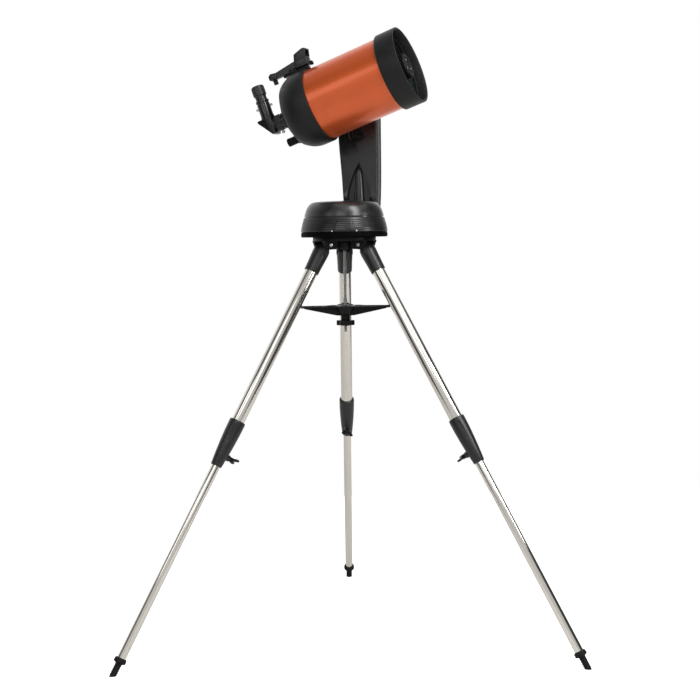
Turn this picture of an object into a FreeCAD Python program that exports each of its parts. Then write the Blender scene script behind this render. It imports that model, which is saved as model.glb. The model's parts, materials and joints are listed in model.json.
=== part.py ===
# Schmidt-Cassegrain telescope: an 8 inch tube on a one-arm motor mount and a three-leg steel tripod.
# Millimetres. +Z up, floor at Z 0, origin under the middle of the whole object's footprint.
import FreeCAD, Part
import os
from math import acos, cos, pi, radians, sin, tan

V = FreeCAD.Vector

# --- driving dimensions -------------------------------------------------------------------------
AXIS_Y = -191.6            # the azimuth axis stands this far in front of the footprint's middle
HEADING = -20.0            # where the tube points, degrees round from +X
ELEVATION = 20.0           # how far the tube points up, degrees
PIVOT_Z = 1628.0           # altitude pivot above the floor

# tripod
LEG_AZIMUTHS = {1: 210.0, 2: 330.0, 3: 90.0}
LEG_TILT = 30.4            # legs lean out by this much from the vertical
HINGE_R, HINGE_Z = 68.4, 1185.5
FOOT_AXIS_S = HINGE_Z / cos(radians(LEG_TILT))   # along a leg, where its axis meets the floor
UPPER_R, UPPER_WALL = 19.05, 1.2
LOWER_R, LOWER_WALL = 12.7, 1.2
BRACKET_END = 91.5
LOCK_START, LOCK_END = 582.0, 726.0
UPPER_END = 675.0
LOWER_START, LOWER_END = 600.0, 1330.0
WING_S = 690.0
WING_TURN = 70.0           # the wing screw's blade, turned about its own axis
FOOT_CAP_START, FOOT_CAP_END = 1320.0, 1335.0
RUN = 0.05                 # radial clearance of a running fit
HEAD_R, HEAD_BOTTOM, HEAD_TOP = 94.0, 1196.0, 1208.0
EAR_IN, EAR_OUT = 25.2, 36.0
HINGE_BOLT_R = 4.0
ROD_R, ROD_BOTTOM = 4.5, 925.0
TRAY_TOP, TRAY_TIP_R, TRAY_WAIST_R, TRAY_HUB_DEPTH = 1004.0, 146.0, 58.0, 30.0
HOLE_R = 15.9              # takes a 1.25 inch eyepiece barrel
NUT_TOP, NUT_BOTTOM = 960.0, 945.0

# base
PLATE_R, PLATE_TOP = 129.0, 1222.0
BASE_SEAM = 1266.0
BASE_Z = 1208.0
BASE_PROFILE = [(129.4, 16), (128.2, 26), (125.5, 38), (119.6, 58)]
DOME_PROFILE = [(119.0, 60), (114.0, 78), (107.0, 91.5), (98.0, 101), (0, 107)]
SHELL = 3.0
SWITCH_TURN = 60.0         # the power switch sits this far round from +Y
GEAR_MODULE = 2.5
AZ_TEETH, ALT_TEETH, PINION_TEETH = 48, 24, 12

# arm, measured along the tube's left side from the azimuth axis
ARM_IN, ARM_SPLIT, ARM_OUT = 125.0, 155.0, 176.0
ARM_WALL = 4.0
HUB_R = 64.0
SADDLE_R = 54.0
SADDLE_DEPTH = 12.0

# telescope, measured along the optical axis from the altitude pivot
TUBE_R, TUBE_WALL = 108.0, 1.6
CELL_R = 115.5
RIM_A, RING_A = 225.0, 163.0
REAR_A = -73.0
BACK_A = REAR_A - 112.0    # rear face of the rear cell
BARREL_R = 15.85
DIAGONAL_A = -245.0        # eyepiece axis
KNOB_H = -68.0             # focus knob's distance below the optical axis


# --- helpers ------------------------------------------------------------------------------------
def turned(points, axis="Z"):
    """A solid of revolution. Points are (radius, distance along the axis)."""
    if axis == "Z":
        outline = [V(r, 0, d) for r, d in points]
        direction = V(0, 0, 1)
    else:
        outline = [V(d, 0, r) for r, d in points]
        direction = V(1, 0, 0)
    face = Part.Face(Part.makePolygon(outline + outline[:1]))
    return face.revolve(V(0, 0, 0), direction, 360)


def rod(radius, start, end):
    """A cylinder between two points."""
    start, end = V(*start), V(*end)
    return Part.makeCylinder(radius, (end - start).Length, start, end - start)


def pipe(outer, inner, start, end):
    return rod(outer, start, end).cut(rod(inner, start, end))


def block(x0, x1, y0, y1, z0, z1):
    return Part.makeBox(x1 - x0, y1 - y0, z1 - z0, V(x0, y0, z0))


def plate(points, direction):
    """A closed outline of 3-D points pushed along a direction."""
    outline = [V(*p) for p in points]
    return Part.Face(Part.makePolygon(outline + outline[:1])).extrude(V(*direction))


def fused(shapes):
    return shapes[0].fuse(shapes[1:]).removeSplitter() if len(shapes) > 1 else shapes[0]


def ring_of(shape, angles):
    """Copies of a shape turned about the Z axis."""
    return [shape.rotated(V(0, 0, 0), V(0, 0, 1), angle) for angle in angles]


def gear(teeth, thickness, bore, phase=0.0):
    """A spur gear about Z with involute flanks and a little backlash."""
    pitch = teeth * GEAR_MODULE / 2
    base = pitch * cos(radians(20))
    radii = (pitch - GEAR_MODULE, pitch, pitch + 0.8 * GEAR_MODULE)

    def half_angle(radius):
        def involute(r):
            a = acos(min(1.0, base / r))
            return tan(a) - a
        return pi / (2 * teeth) + involute(pitch) - involute(max(radius, base)) - 0.15 / pitch

    outline = []
    for tooth in range(teeth):
        middle = 2 * pi * tooth / teeth + phase
        for radius, side in [(r, -1) for r in radii] + [(r, 1) for r in reversed(radii)]:
            angle = middle + side * half_angle(radius)
            outline.append((radius * cos(angle), radius * sin(angle), 0))
    wheel = plate(outline, (0, 0, thickness))
    return wheel.cut(rod(bore, (0, 0, 0), (0, 0, thickness)))


# --- placing ------------------------------------------------------------------------------------
def leg_place(shape, azimuth):
    """From leg space (X outward from the axis, Y along the hinge, -Z down the leg) to the object."""
    moved = shape.rotated(V(0, 0, 0), V(0, 1, 0), -LEG_TILT)
    moved.translate(V(HINGE_R, 0, HINGE_Z))
    return moved.rotated(V(0, 0, 0), V(0, 0, 1), azimuth)


def mount_place(shape):
    """From mount space (X forward, Y left, Z up) to the object."""
    return shape.rotated(V(0, 0, 0), V(0, 0, 1), HEADING)


def tube_place(shape):
    """From telescope space (X along the optical axis, Y left, Z up) to the object."""
    moved = shape.rotated(V(0, 0, 0), V(0, 1, 0), -ELEVATION)
    moved.translate(V(0, 0, PIVOT_Z))
    return mount_place(moved)


# --- tripod -------------------------------------------------------------------------------------
def tripod_head():
    disc = rod(HEAD_R, (0, 0, HEAD_BOTTOM), (0, 0, HEAD_TOP))
    boss = rod(24, (0, 0, 1168), (0, 0, HEAD_BOTTOM))
    ears = []
    for side in (-1, 1):
        y0, y1 = sorted((side * EAR_IN, side * EAR_OUT))
        ears.append(plate([(44, y0, HEAD_BOTTOM + 2), (90, y0, HEAD_BOTTOM + 2), (82, y0, 1176),
                           (72, y0, 1171), (60, y0, 1172)], (0, y1 - y0, 0)))
    web = block(20, 46, -3, 3, 1174, HEAD_BOTTOM + 2)
    shapes = [disc, boss]
    for azimuth in LEG_AZIMUTHS.values():
        shapes += ring_of(ears[0], [azimuth]) + ring_of(ears[1], [azimuth]) + ring_of(web, [azimuth])
    head = fused(shapes)
    holes = [rod(ROD_R, (0, 0, 1160), (0, 0, HEAD_TOP))]
    for azimuth in LEG_AZIMUTHS.values():
        holes += ring_of(rod(HINGE_BOLT_R, (HINGE_R, -40, HINGE_Z), (HINGE_R, 40, HINGE_Z)), [azimuth])
        holes += ring_of(rod(4.0, (62, 0, HEAD_BOTTOM), (62, 0, HEAD_TOP)), [azimuth + 60])
    return head.cut(holes)


def captive_bolts():
    knob = turned([(0, 1174), (6.5, 1174), (8.5, 1176.5), (8.5, 1191), (7.5, 1196), (4, 1196),
                   (4, 1217), (0, 1217)])
    knob.translate(V(62, 0, 0))
    return Part.makeCompound(ring_of(knob, [a + 60 for a in LEG_AZIMUTHS.values()]))


def hinge_bolts():
    bolt = fused([rod(HINGE_BOLT_R, (HINGE_R, -EAR_OUT, HINGE_Z), (HINGE_R, EAR_OUT, HINGE_Z)),
                  rod(6.5, (HINGE_R, -44, HINGE_Z), (HINGE_R, -EAR_OUT, HINGE_Z)),
                  rod(6.5, (HINGE_R, EAR_OUT, HINGE_Z), (HINGE_R, 44, HINGE_Z))])
    return Part.makeCompound(ring_of(bolt, LEG_AZIMUTHS.values()))


def center_rod():
    return rod(ROD_R, (0, 0, ROD_BOTTOM), (0, 0, HEAD_TOP))


def leg_bracket():
    eye = rod(10, (0, -25, 0), (0, 25, 0))
    body = turned([(0, -BRACKET_END), (22, -BRACKET_END), (22, -84), (23, -60), (24.5, -24),
                   (22, -12), (0, -12)])
    cheek = block(-10, 10, -25, 25, -26, 0)
    shell = fused([body, eye, cheek])
    shell = shell.cut([rod(HINGE_BOLT_R + RUN, (0, -30, 0), (0, 30, 0)),
                       rod(UPPER_R, (0, 0, -BRACKET_END), (0, 0, -40))])
    return shell


def leg_upper_tube():
    return pipe(UPPER_R, UPPER_R - UPPER_WALL, (0, 0, -UPPER_END), (0, 0, -40))


def leg_lock():
    body = turned([(0, -LOCK_START), (23.4, -LOCK_START), (24, -LOCK_START - 5), (23.6, -620), (22, -655),
                   (19.6, -690), (16.5, -LOCK_END + 3), (15.5, -LOCK_END), (0, -LOCK_END)])
    boss = rod(9.5, (0, 0, -WING_S), (-27, 0, -WING_S))
    body = fused([body, boss])
    return body.cut([rod(UPPER_R, (0, 0, -UPPER_END), (0, 0, -LOCK_START)),
                     rod(LOWER_R + RUN, (0, 0, -LOCK_END), (0, 0, -UPPER_END)),
                     rod(4.0 + RUN, (0, 0, -WING_S), (-30, 0, -WING_S))])


def leg_wing_screw():
    thread = rod(4.0, (-LOWER_R - 0.2, 0, -WING_S), (-31, 0, -WING_S))
    hub = rod(7.5, (-28, 0, -WING_S), (-42, 0, -WING_S))
    wing = plate([(-34, -3, -WING_S - 6), (-50, -3, -WING_S - 19), (-56, -3, -WING_S - 14),
                  (-48, -3, -WING_S), (-56, -3, -WING_S + 14), (-50, -3, -WING_S + 19),
                  (-34, -3, -WING_S + 6)], (0, 6, 0))
    wing = wing.rotated(V(0, 0, -WING_S), V(1, 0, 0), WING_TURN)
    return fused([thread, hub, wing])


def leg_lower_tube():
    return pipe(LOWER_R, LOWER_R - LOWER_WALL, (0, 0, -LOWER_END), (0, 0, -LOWER_START))


def leg_foot(azimuth):
    beyond = FOOT_AXIS_S + 12
    body = [turned([(0, -FOOT_CAP_START), (15, -FOOT_CAP_START), (18, -FOOT_CAP_START - 3),
                    (18, -FOOT_CAP_END), (9.5, -FOOT_CAP_END - 3), (8, -beyond), (0, -beyond)])]
    ribs = 4
    for i in range(ribs):
        s = FOOT_CAP_END + 7 + i * 7
        body.append(turned([(0, -s), (9.2, -s), (10.4, -s - 1.5), (9.2, -s - 3), (0, -s - 3)]))
    foot = fused(body).cut(rod(LOWER_R, (0, 0, -LOWER_END), (0, 0, -FOOT_CAP_START + 1)))
    placed = leg_place(foot, azimuth)
    return placed.cut(block(-1000, 1000, -1000, 1000, -100, 0))


def accessory_tray():
    under = TRAY_TOP - 3.5
    corner = TRAY_TIP_R - 6
    outline = []
    for azimuth in sorted(LEG_AZIMUTHS.values()):
        for offset, radius in ((-5.0, corner), (5.0, corner), (60.0, TRAY_WAIST_R)):
            angle = radians(azimuth + offset)
            outline.append((radius * cos(angle), radius * sin(angle), under))
    shapes = [plate(outline, (0, 0, 3.5)), rod(13.5, (0, 0, NUT_TOP), (0, 0, TRAY_TOP)),
              turned([(0, TRAY_TOP - TRAY_HUB_DEPTH), (18, TRAY_TOP - TRAY_HUB_DEPTH),
                      (34, under), (0, under)])]
    rib = plate([(10, -2, under), (TRAY_TIP_R - 8, -2, under), (TRAY_TIP_R - 8, -2, under - 3),
                 (10, -2, TRAY_TOP - TRAY_HUB_DEPTH)], (0, 4, 0))
    cradle = block(TRAY_TIP_R - 12, TRAY_TIP_R, -11, 11, under - 1, TRAY_TOP + 9)
    notch = rod(7, (TRAY_TIP_R - 20, 0, TRAY_TOP + 9), (TRAY_TIP_R + 5, 0, TRAY_TOP + 9))
    shapes += ring_of(rib, LEG_AZIMUTHS.values()) + ring_of(cradle.cut(notch), LEG_AZIMUTHS.values())
    tray = fused(shapes)
    bore = rod(ROD_R + RUN, (0, 0, NUT_TOP - 1), (0, 0, TRAY_TOP + 1))
    return tray.cut([bore] + eyepiece_holes(under))


def eyepiece_holes(under):
    """Two holes beside each rib."""
    hole = rod(HOLE_R, (60, 27, under - 1), (60, 27, TRAY_TOP + 1))
    other = rod(HOLE_R, (60, -27, under - 1), (60, -27, TRAY_TOP + 1))
    return ring_of(hole, [90]) + ring_of(other, [90]) + ring_of(hole, [210]) + ring_of(hole, [330])


def support_nut():
    lobe = rod(9, (18, 0, NUT_BOTTOM), (18, 0, NUT_TOP))
    body = fused([rod(21, (0, 0, NUT_BOTTOM), (0, 0, NUT_TOP))] + ring_of(lobe, range(0, 360, 60)))
    return body.cut(rod(ROD_R + RUN, (0, 0, NUT_BOTTOM), (0, 0, NUT_TOP)))


# --- base ---------------------------------------------------------------------------------------
def base_plate():
    plate_body = turned([(0, BASE_Z), (PLATE_R - 3, BASE_Z), (PLATE_R, BASE_Z + 3), (PLATE_R, PLATE_TOP),
                         (0, PLATE_TOP)])
    rim = pipe(PLATE_R, PLATE_R - 7, (0, 0, PLATE_TOP), (0, 0, PLATE_TOP + 1.6))
    stub = rod(20, (0, 0, PLATE_TOP), (0, 0, 1250))
    hole = rod(4.0, (62, 0, BASE_Z), (62, 0, BASE_Z + 10))
    return fused([plate_body, rim, stub]).cut(ring_of(hole, [a + 60 for a in LEG_AZIMUTHS.values()]))


def azimuth_gear():
    wheel = gear(AZ_TEETH, 8, 20)
    wheel.translate(V(0, 0, PLATE_TOP))
    return wheel


def skirt_solid(inset):
    rings = [(r - inset, BASE_Z + z) for r, z in BASE_PROFILE]
    return turned([(0, rings[0][1])] + rings + [(0, rings[-1][1])])


def door_prism(gap):
    """The battery door's wedge outline, in front of the azimuth axis."""
    return plate([(-32.5 + gap, -140, BASE_Z + 18 + gap), (32.5 - gap, -140, BASE_Z + 18 + gap),
                  (23 - gap, -140, BASE_Z + 46 - gap), (-23 + gap, -140, BASE_Z + 46 - gap)], (0, 60, 0))


def base_skirt():
    shell = skirt_solid(0).cut(skirt_solid(SHELL))
    grooves = []
    for i in range(7):
        z = BASE_Z + 22 + i * 4.4
        grooves.append(pipe(140, skirt_radius(z) - 0.8, (0, 0, z), (0, 0, z + 1.2)))
    floor_web = pipe(126, 20 + RUN, (0, 0, 1234), (0, 0, 1237))
    floor_web = floor_web.cut(rod(16.5, (0, 75, 1230), (0, 75, 1240)))
    shell = fused([shell.cut(grooves), floor_web])
    slot = block(-5, 5, 100, 140, 1240, 1248).rotated(V(0, 0, 0), V(0, 0, 1), SWITCH_TURN)
    return shell.cut([door_prism(0), slot])


def skirt_radius(z):
    """Outer radius of the skirt at a height."""
    for (r0, z0), (r1, z1) in zip(BASE_PROFILE, BASE_PROFILE[1:]):
        if z - BASE_Z <= z1:
            return r0 + (r1 - r0) * (z - BASE_Z - z0) / (z1 - z0)
    return BASE_PROFILE[-1][0]


def battery_door():
    shell = skirt_solid(0).cut(skirt_solid(SHELL))
    grooves = []
    for i in range(6):
        z = BASE_Z + 22 + i * 4.4
        grooves.append(pipe(140, skirt_radius(z) - 0.8, (0, 0, z), (0, 0, z + 1.2)))
    return shell.cut(grooves).common(door_prism(0.4))


def base_dome():
    outer = [(r, BASE_Z + z) for r, z in DOME_PROFILE]
    inner = [(max(0, r - SHELL), BASE_Z + z - (SHELL if i > 1 else 0))
             for i, (r, z) in enumerate(DOME_PROFILE)]
    shell = turned([(outer[0][0] - SHELL, outer[0][1])] + outer + inner[::-1][:-1])
    lip = pipe(BASE_PROFILE[-1][0] - 1, BASE_PROFILE[-1][0] - 1 - SHELL,
               (0, 0, BASE_Z + 58), (0, 0, BASE_Z + 61))
    return fused([shell, lip])


def dome_volume():
    """Everything inside the base's outside, with a hair of clearance, for fitting the arm to it."""
    grow = 0.05
    rings = [(r + grow, BASE_Z + z) for r, z in BASE_PROFILE]
    dome = [(r + grow if r else 0, BASE_Z + z + grow) for r, z in DOME_PROFILE]
    return turned([(0, BASE_Z - 1), (PLATE_R + 1, BASE_Z - 1), (PLATE_R + 1, BASE_Z + 15)] + rings + dome)


def battery_pack():
    cells = []
    for row in range(4):
        for layer in range(2):
            y, z = -100 + row * 14.6, 1245 + layer * 14.6
            cells.append(rod(7.2, (-25, y, z), (25, y, z)))
    return Part.makeCompound(cells)


def motor(height):
    return fused([rod(15, (0, 0, 0), (0, 0, height)), rod(3, (0, 0, -9), (0, 0, 0))])


def drive_motors():
    azimuth = motor(22)
    azimuth.translate(V(0, 75, 1237.2))
    altitude = motor(20)
    altitude.rotate(V(0, 0, 0), V(1, 0, 0), -90)
    altitude.translate(V(0, 151.5, PIVOT_Z - 45))
    return Part.makeCompound([azimuth, mount_place(altitude)])


def azimuth_pinion():
    wheel = gear(PINION_TEETH, 6, 3 + RUN, pi / PINION_TEETH + pi / 2)
    wheel.translate(V(0, 75, PLATE_TOP + 1))
    return wheel


def altitude_pinion():
    wheel = gear(PINION_TEETH, 6, 3 + RUN, pi / PINION_TEETH)
    wheel.rotate(V(0, 0, 0), V(0, 0, 1), 90)
    wheel.rotate(V(0, 0, 0), V(1, 0, 0), -90)
    wheel.translate(V(0, 144, PIVOT_Z - 45))
    return mount_place(wheel)


def altitude_gear():
    wheel = gear(ALT_TEETH, 6, 10)
    wheel.rotate(V(0, 0, 0), V(0, 0, 1), 90)
    wheel.rotate(V(0, 0, 0), V(1, 0, 0), -90)
    wheel.translate(V(0, 144, PIVOT_Z))
    return mount_place(wheel)


def power_switch():
    slider = block(-2.5, 2.5, 118, 129, 1240.5, 1247.5)
    return slider.rotated(V(0, 0, 0), V(0, 0, 1), SWITCH_TURN)


# --- arm ----------------------------------------------------------------------------------------
def arm_outline(inset):
    """Arm seen from its side: forward, height. The top is an arc about the altitude pivot."""
    front = [(50, 1232), (56, 1262), (61, 1330), (63, 1420), (63, 1520), (63.5, 1600)]
    back = [(-66, 1600), (-62, 1520), (-55, 1430), (-49, 1340), (-46, 1270), (-40, 1232)]
    points = [V(f - inset, 0, z + (inset if i == 0 else 0)) for i, (f, z) in enumerate(front)]
    rear = [V(f + inset, 0, z + (inset if i == len(back) - 1 else 0)) for i, (f, z) in enumerate(back)]
    top = V(0, 0, PIVOT_Z + HUB_R + 4 - inset)
    edges = [Part.makeLine(a, b) for a, b in zip(points, points[1:])]
    edges.append(Part.Arc(points[-1], top, rear[0]).toShape())
    edges += [Part.makeLine(a, b) for a, b in zip(rear, rear[1:])]
    edges.append(Part.makeLine(rear[-1], points[0]))
    return Part.Face(Part.Wire(edges))


def arm_slab(inset, low, high):
    slab = arm_outline(inset).extrude(V(0, high - low, 0))
    slab.translate(V(0, low, 0))
    return slab


def arch(half_width, base, apex, low, high):
    """A pointed arch, standing on its base, pushed from low to high."""
    shoulder = base + (apex - base) * 0.45
    left = Part.Arc(V(-half_width, low, base), V(-half_width * 0.93, low, shoulder), V(0, low, apex))
    right = Part.Arc(V(0, low, apex), V(half_width * 0.93, low, shoulder), V(half_width, low, base))
    wire = Part.Wire([left.toShape(), right.toShape(),
                      Part.makeLine(V(half_width, low, base), V(-half_width, low, base))])
    return Part.Face(wire).extrude(V(0, high - low, 0))


def arm_foot():
    """The inner foot that runs down onto the dome with a concave sweep."""
    sweep = 42.0
    corner = Part.makeLine(V(-44, ARM_IN - sweep, 1300), V(-44, ARM_IN - sweep, 1240))
    bottom = Part.makeLine(V(-44, ARM_IN - sweep, 1240), V(-44, ARM_IN + 1, 1240))
    side = Part.makeLine(V(-44, ARM_IN + 1, 1240), V(-44, ARM_IN + 1, 1300 + sweep))
    inner = V(-44, ARM_IN - sweep * 0.29, 1300 + sweep * 0.29)
    curve = Part.Arc(V(-44, ARM_IN + 1, 1300 + sweep), inner, V(-44, ARM_IN - sweep, 1300))
    face = Part.Face(Part.Wire([corner, bottom, side, curve.toShape()]))
    return face.extrude(V(100, 0, 0))


def arm_shell():
    recess = 10.0
    outer = fused([arm_slab(0, ARM_IN, ARM_SPLIT), arm_foot()])
    hollow = arm_slab(ARM_WALL, ARM_IN + ARM_WALL, ARM_SPLIT + 1)
    bowl = arch(41, 1290, 1441, ARM_IN + 1, ARM_IN + recess + ARM_WALL)
    seat = rod(SADDLE_R + 5, (0, ARM_IN + 1, PIVOT_Z), (0, ARM_IN + SADDLE_DEPTH + 5, PIVOT_Z))
    shell = fused([outer.cut(hollow), bowl, seat])
    rib = turned([(0, 1280), (16, 1280), (9, 1410), (0, 1428)]).translated(V(0, ARM_IN + recess, 0))
    shell = shell.cut([arch(37, 1280, 1435, ARM_IN - 50, ARM_IN + recess),
                       rod(SADDLE_R + 0.5, (0, ARM_IN - 1, PIVOT_Z), (0, ARM_IN + SADDLE_DEPTH, PIVOT_Z)),
                       rod(12 + RUN, (0, ARM_IN, PIVOT_Z), (0, ARM_IN + 40, PIVOT_Z))])
    shell = fused([shell, rib.common(block(-20, 20, ARM_IN - 9, ARM_IN + recess + 1, 1280, 1440))])
    return mount_place(shell.cut(dome_volume()))


def arm_cover():
    outer = arm_slab(0, ARM_SPLIT, ARM_OUT)
    rim = [e for e in outer.Edges if all(abs(v.Y - ARM_OUT) < 0.01 for v in e.Vertexes)]
    outer = outer.makeFillet(12, rim)
    cover = outer.cut(arm_slab(ARM_WALL + 10, ARM_SPLIT - 1, ARM_OUT - ARM_WALL))
    cradle = block(-24, 24, ARM_OUT - 1, ARM_OUT + 16, 1452, 1500)
    pocket = block(-20, 20, ARM_OUT, ARM_OUT + 12, 1456, 1501)
    cradle = cradle.cut(pocket)
    return mount_place(fused([cover, cradle]))


def saddle():
    base = rod(SADDLE_R, (0, ARM_IN + 0.8, 0), (0, ARM_IN + SADDLE_DEPTH - 0.3, 0))
    shaft = rod(12, (0, ARM_IN + 2, 0), (0, 143.7, 0))
    stub = rod(10, (0, 143.7, 0), (0, 150, 0))
    gap = ARM_IN - 0.3
    upper = plate([(-45, 117.5, 23), (-45, gap, 26.2), (-45, gap, 42), (-45, 117.5, 42)], (90, 0, 0))
    upper = upper.fuse(block(-30, 30, 123, ARM_IN + 1, 28, 42))
    lower = upper.mirror(V(0, 0, 0), V(0, 0, 1))
    lug = block(-50, -26, 110.5, 124, -56, -40)
    body = fused([base, shaft, stub, upper, lower, lug])
    screw = rod(4 + RUN, (-38, 117.2, -42.16), (-38, 100, -112))
    return tube_place(body.cut(screw))


def saddle_knob():
    top, low = V(-38, 116.5, -45), V(-38, 100, -112)
    along = (low - top).normalize()
    stem = Part.makeCylinder(4, 56, top, along)
    start = top + along * 50
    grip = Part.makeCylinder(14, 26, start, along)
    lobes = []
    side = V(1, 0, 0)
    for i in range(5):
        lobe = Part.makeCylinder(5, 26, start + side * 12, along)
        lobes.append(lobe.rotated(start, along, i * 72))
    return tube_place(fused([stem, grip] + lobes))


# --- telescope ----------------------------------------------------------------------------------
def dovetail_rail():
    start, end = REAR_A - 13, RING_A + 2
    bar = plate([(start, 116, -22), (start, 124.8, -26), (start, 124.8, 26), (start, 116, 22)],
                (end - start, 0, 0))
    feet = [block(start, REAR_A - 2, 107, 117, -18, 18), block(end - 20, end, 107, 117, -18, 18)]
    body = fused([bar] + feet)
    return tube_place(body.cut([rod(114, (start - 1, 0, 0), (REAR_A - 1, 0, 0)),
                                rod(TUBE_R, (end - 21, 0, 0), (RING_A, 0, 0)),
                                rod(CELL_R, (RING_A, 0, 0), (end + 1, 0, 0))]))


def optical_tube():
    return tube_place(pipe(TUBE_R, TUBE_R - TUBE_WALL, (REAR_A - 8, 0, 0), (172, 0, 0)))


def front_cell():
    body = turned([(TUBE_R, RING_A), (CELL_R - 2, RING_A), (CELL_R, RING_A + 3), (CELL_R, RIM_A - 1),
                   (CELL_R - 1, RIM_A), (110, RIM_A), (108.5, RIM_A - 2), (105, 200), (105, 190),
                   (99, 190), (99, 184), (103, 172), (TUBE_R, 172)], "X")
    return tube_place(body)


def corrector_plate():
    return tube_place(pipe(104.8, 30, (190, 0, 0), (195, 0, 0)))


def secondary_housing():
    body = turned([(0, 181), (33, 181), (33, 190), (29.9, 190), (29.9, 195), (37, 195), (37, 217), (34, 220),
                   (25, 220), (23, 214), (0, 214)], "X")
    screws = [rod(3, (213, 15, 0), (216.5, 15, 0)).rotated(V(0, 0, 0), V(1, 0, 0), a) for a in (90, 210, 330)]
    return tube_place(fused([body] + screws))


def secondary_mirror():
    return tube_place(rod(32, (175, 0, 0), (181, 0, 0)))


def primary_mirror():
    back = REAR_A - 59
    glass = turned([(27, back), (102, back), (102, back + 18), (60, back + 15), (27, back + 14)], "X")
    return tube_place(glass)


def baffle_tube():
    back = BACK_A + 11
    return tube_place(turned([(18, back), (26.95, back), (26.95, -96), (20, 40), (18.5, 40), (24, -96)], "X"))


def rear_cell():
    """Drawn about its front edge, and moved to REAR_A."""
    outer = [(TUBE_R, 0), (113.2, 0), (114, -3), (114, -38), (111, -56), (104, -73), (93, -91), (83, -96),
             (60, -100), (56, -103), (54, -107), (30, -112)]
    inner = [(18, -112), (18, -105), (27, -101), (27, -97), (80, -92), (90, -87), (100, -70), (107, -53),
             (109.5, -38), (109.5, -13), (106, -8), (TUBE_R, -8)]
    body = turned(outer + inner, "X")
    boss = rod(15, (-103, 0, KNOB_H), (-89, 0, KNOB_H))
    body = fused([body, boss]).cut(rod(4 + RUN, (-113, 0, KNOB_H), (-63, 0, KNOB_H)))
    body.translate(V(REAR_A, 0, 0))
    return tube_place(body)


def focus_knob():
    grip = turned([(0, -34), (11, -34), (12.5, -32), (12.5, -3), (10, 0), (0, 0)], "X")
    grooves = [rod(1.2, (-35, 12.8, 0), (-3, 12.8, 0)).rotated(V(0, 0, 0), V(1, 0, 0), a)
               for a in range(0, 360, 30)]
    grip = fused([grip.cut(grooves), rod(4, (-1, 0, 0), (31, 0, 0))])
    grip.translate(V(REAR_A - 104, 0, KNOB_H))
    return tube_place(grip)


def visual_back():
    body = turned([(HOLE_R, -226), (22.5, -226), (24, -224), (24, -205), (25, -203), (25, BACK_A - 4),
                   (29, BACK_A - 3), (29, BACK_A), (HOLE_R, BACK_A)], "X")
    return tube_place(body.cut(rod(2.5 + RUN, (-213, 0, 0), (-213, 0, -30))))


def set_screw():
    """A small thumb screw along +Z with its tip at 16."""
    return fused([rod(2.5, (0, 0, 16), (0, 0, 27)), rod(4.8, (0, 0, 26.5), (0, 0, 34.5))])


def visual_back_screw():
    screw = set_screw().rotated(V(0, 0, 0), V(1, 0, 0), 180)
    screw.translate(V(-213, 0, 0))
    return tube_place(screw)


def diagonal_screw(side):
    screw = fused([rod(2.2, (0, 0, 16), (0, 0, 22.5)), rod(4.0, (0, 0, 21.2), (0, 0, 27))])
    screw = screw.rotated(V(0, 0, 0), V(0, 1, 0), 90 * side)
    screw.translate(V(DIAGONAL_A, 0, 61))
    return tube_place(screw)


def star_diagonal():
    wedge = plate([(-229, -21, -28), (-229, -21, 25), (-275, -21, 25), (-275, -21, 19), (-241, -21, -28)],
                  (0, 42, 0))
    nose = rod(BARREL_R, (-229, 0, 0), (-204, 0, 0))
    neck = pipe(19.5, HOLE_R, (DIAGONAL_A, 0, 25), (DIAGONAL_A, 0, 82))
    lip = pipe(20.5, HOLE_R, (DIAGONAL_A, 0, 76), (DIAGONAL_A, 0, 82))
    flare = turned([(0, 25), (21.5, 25), (19.5, 34), (0, 34)])
    flare.translate(V(DIAGONAL_A, 0, 0))
    body = fused([wedge, nose, neck, lip, flare])
    cuts = [rod(13, (-240, 0, 0), (-203, 0, 0)), rod(HOLE_R, (DIAGONAL_A, 0, 20), (DIAGONAL_A, 0, 90)),
            prism_shape(0.0), rod(2.2 + RUN, (DIAGONAL_A - 25, 0, 61), (DIAGONAL_A + 25, 0, 61))]
    return tube_place(body.cut(cuts))


def prism_shape(shrink):
    return plate([(-233 - shrink, -16 + shrink, -17), (-233 - shrink, -16 + shrink, 20),
                  (-270, -16 + shrink, 20)], (0, 32 - 2 * shrink, 0))


def diagonal_prism():
    return tube_place(prism_shape(0.0))


def eyepiece():
    body = turned([(0, 50), (BARREL_R, 50), (BARREL_R, 82), (17.5, 82), (17.5, 97), (20, 98), (20, 126),
                   (18.5, 128), (12, 128), (10, 124), (0, 124)])
    body.translate(V(DIAGONAL_A, 0, 0))
    return tube_place(body)


def finder_bracket():
    body = block(-150, -68, -14, 14, 108, 121)
    fork = [block(-128, -104, y, y + 4, 120, 130) for y in (-14, 10)]
    shape = fused([body] + fork).cut(rod(114, (-151, 0, 0), (-67, 0, 0)))
    return tube_place(shape.cut(rod(2.5, (-116, -20, 126), (-116, 20, 126))))


def finder_body():
    beam = plate([(-191, -9, 123), (-66, -9, 123), (-60, -9, 146), (-110, -9, 149), (-180, -9, 140),
                  (-191, -9, 134)], (0, 18, 0))
    rear = plate([(-196, -15, 124), (-172, -15, 124), (-170, -15, 140), (-188, -15, 143), (-196, -15, 137)],
                 (0, 30, 0))
    front = block(-103, -62, -19, 19, 124, 146)
    pin = rod(2.5 - RUN, (-116, -14, 126), (-116, 14, 126))
    body = fused([beam, rear, front, pin])
    hood = plate([(-103, -19, 144), (-63, -19, 144), (-56, -19, 172), (-66, -19, 174), (-96, -19, 166)],
                 (0, 38, 0))
    opening = plate([(-110, -16, 149), (-50, -16, 149), (-40, -16, 168), (-110, -16, 162)], (0, 32, 0))
    return tube_place(fused([body, hood.cut(opening)]))


def finder_window():
    pane = plate([(-78, -16, 149), (-75.5, -16, 149), (-68, -16, 164.9), (-70.5, -16, 164.7)], (0, 32, 0))
    return tube_place(pane)


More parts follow.
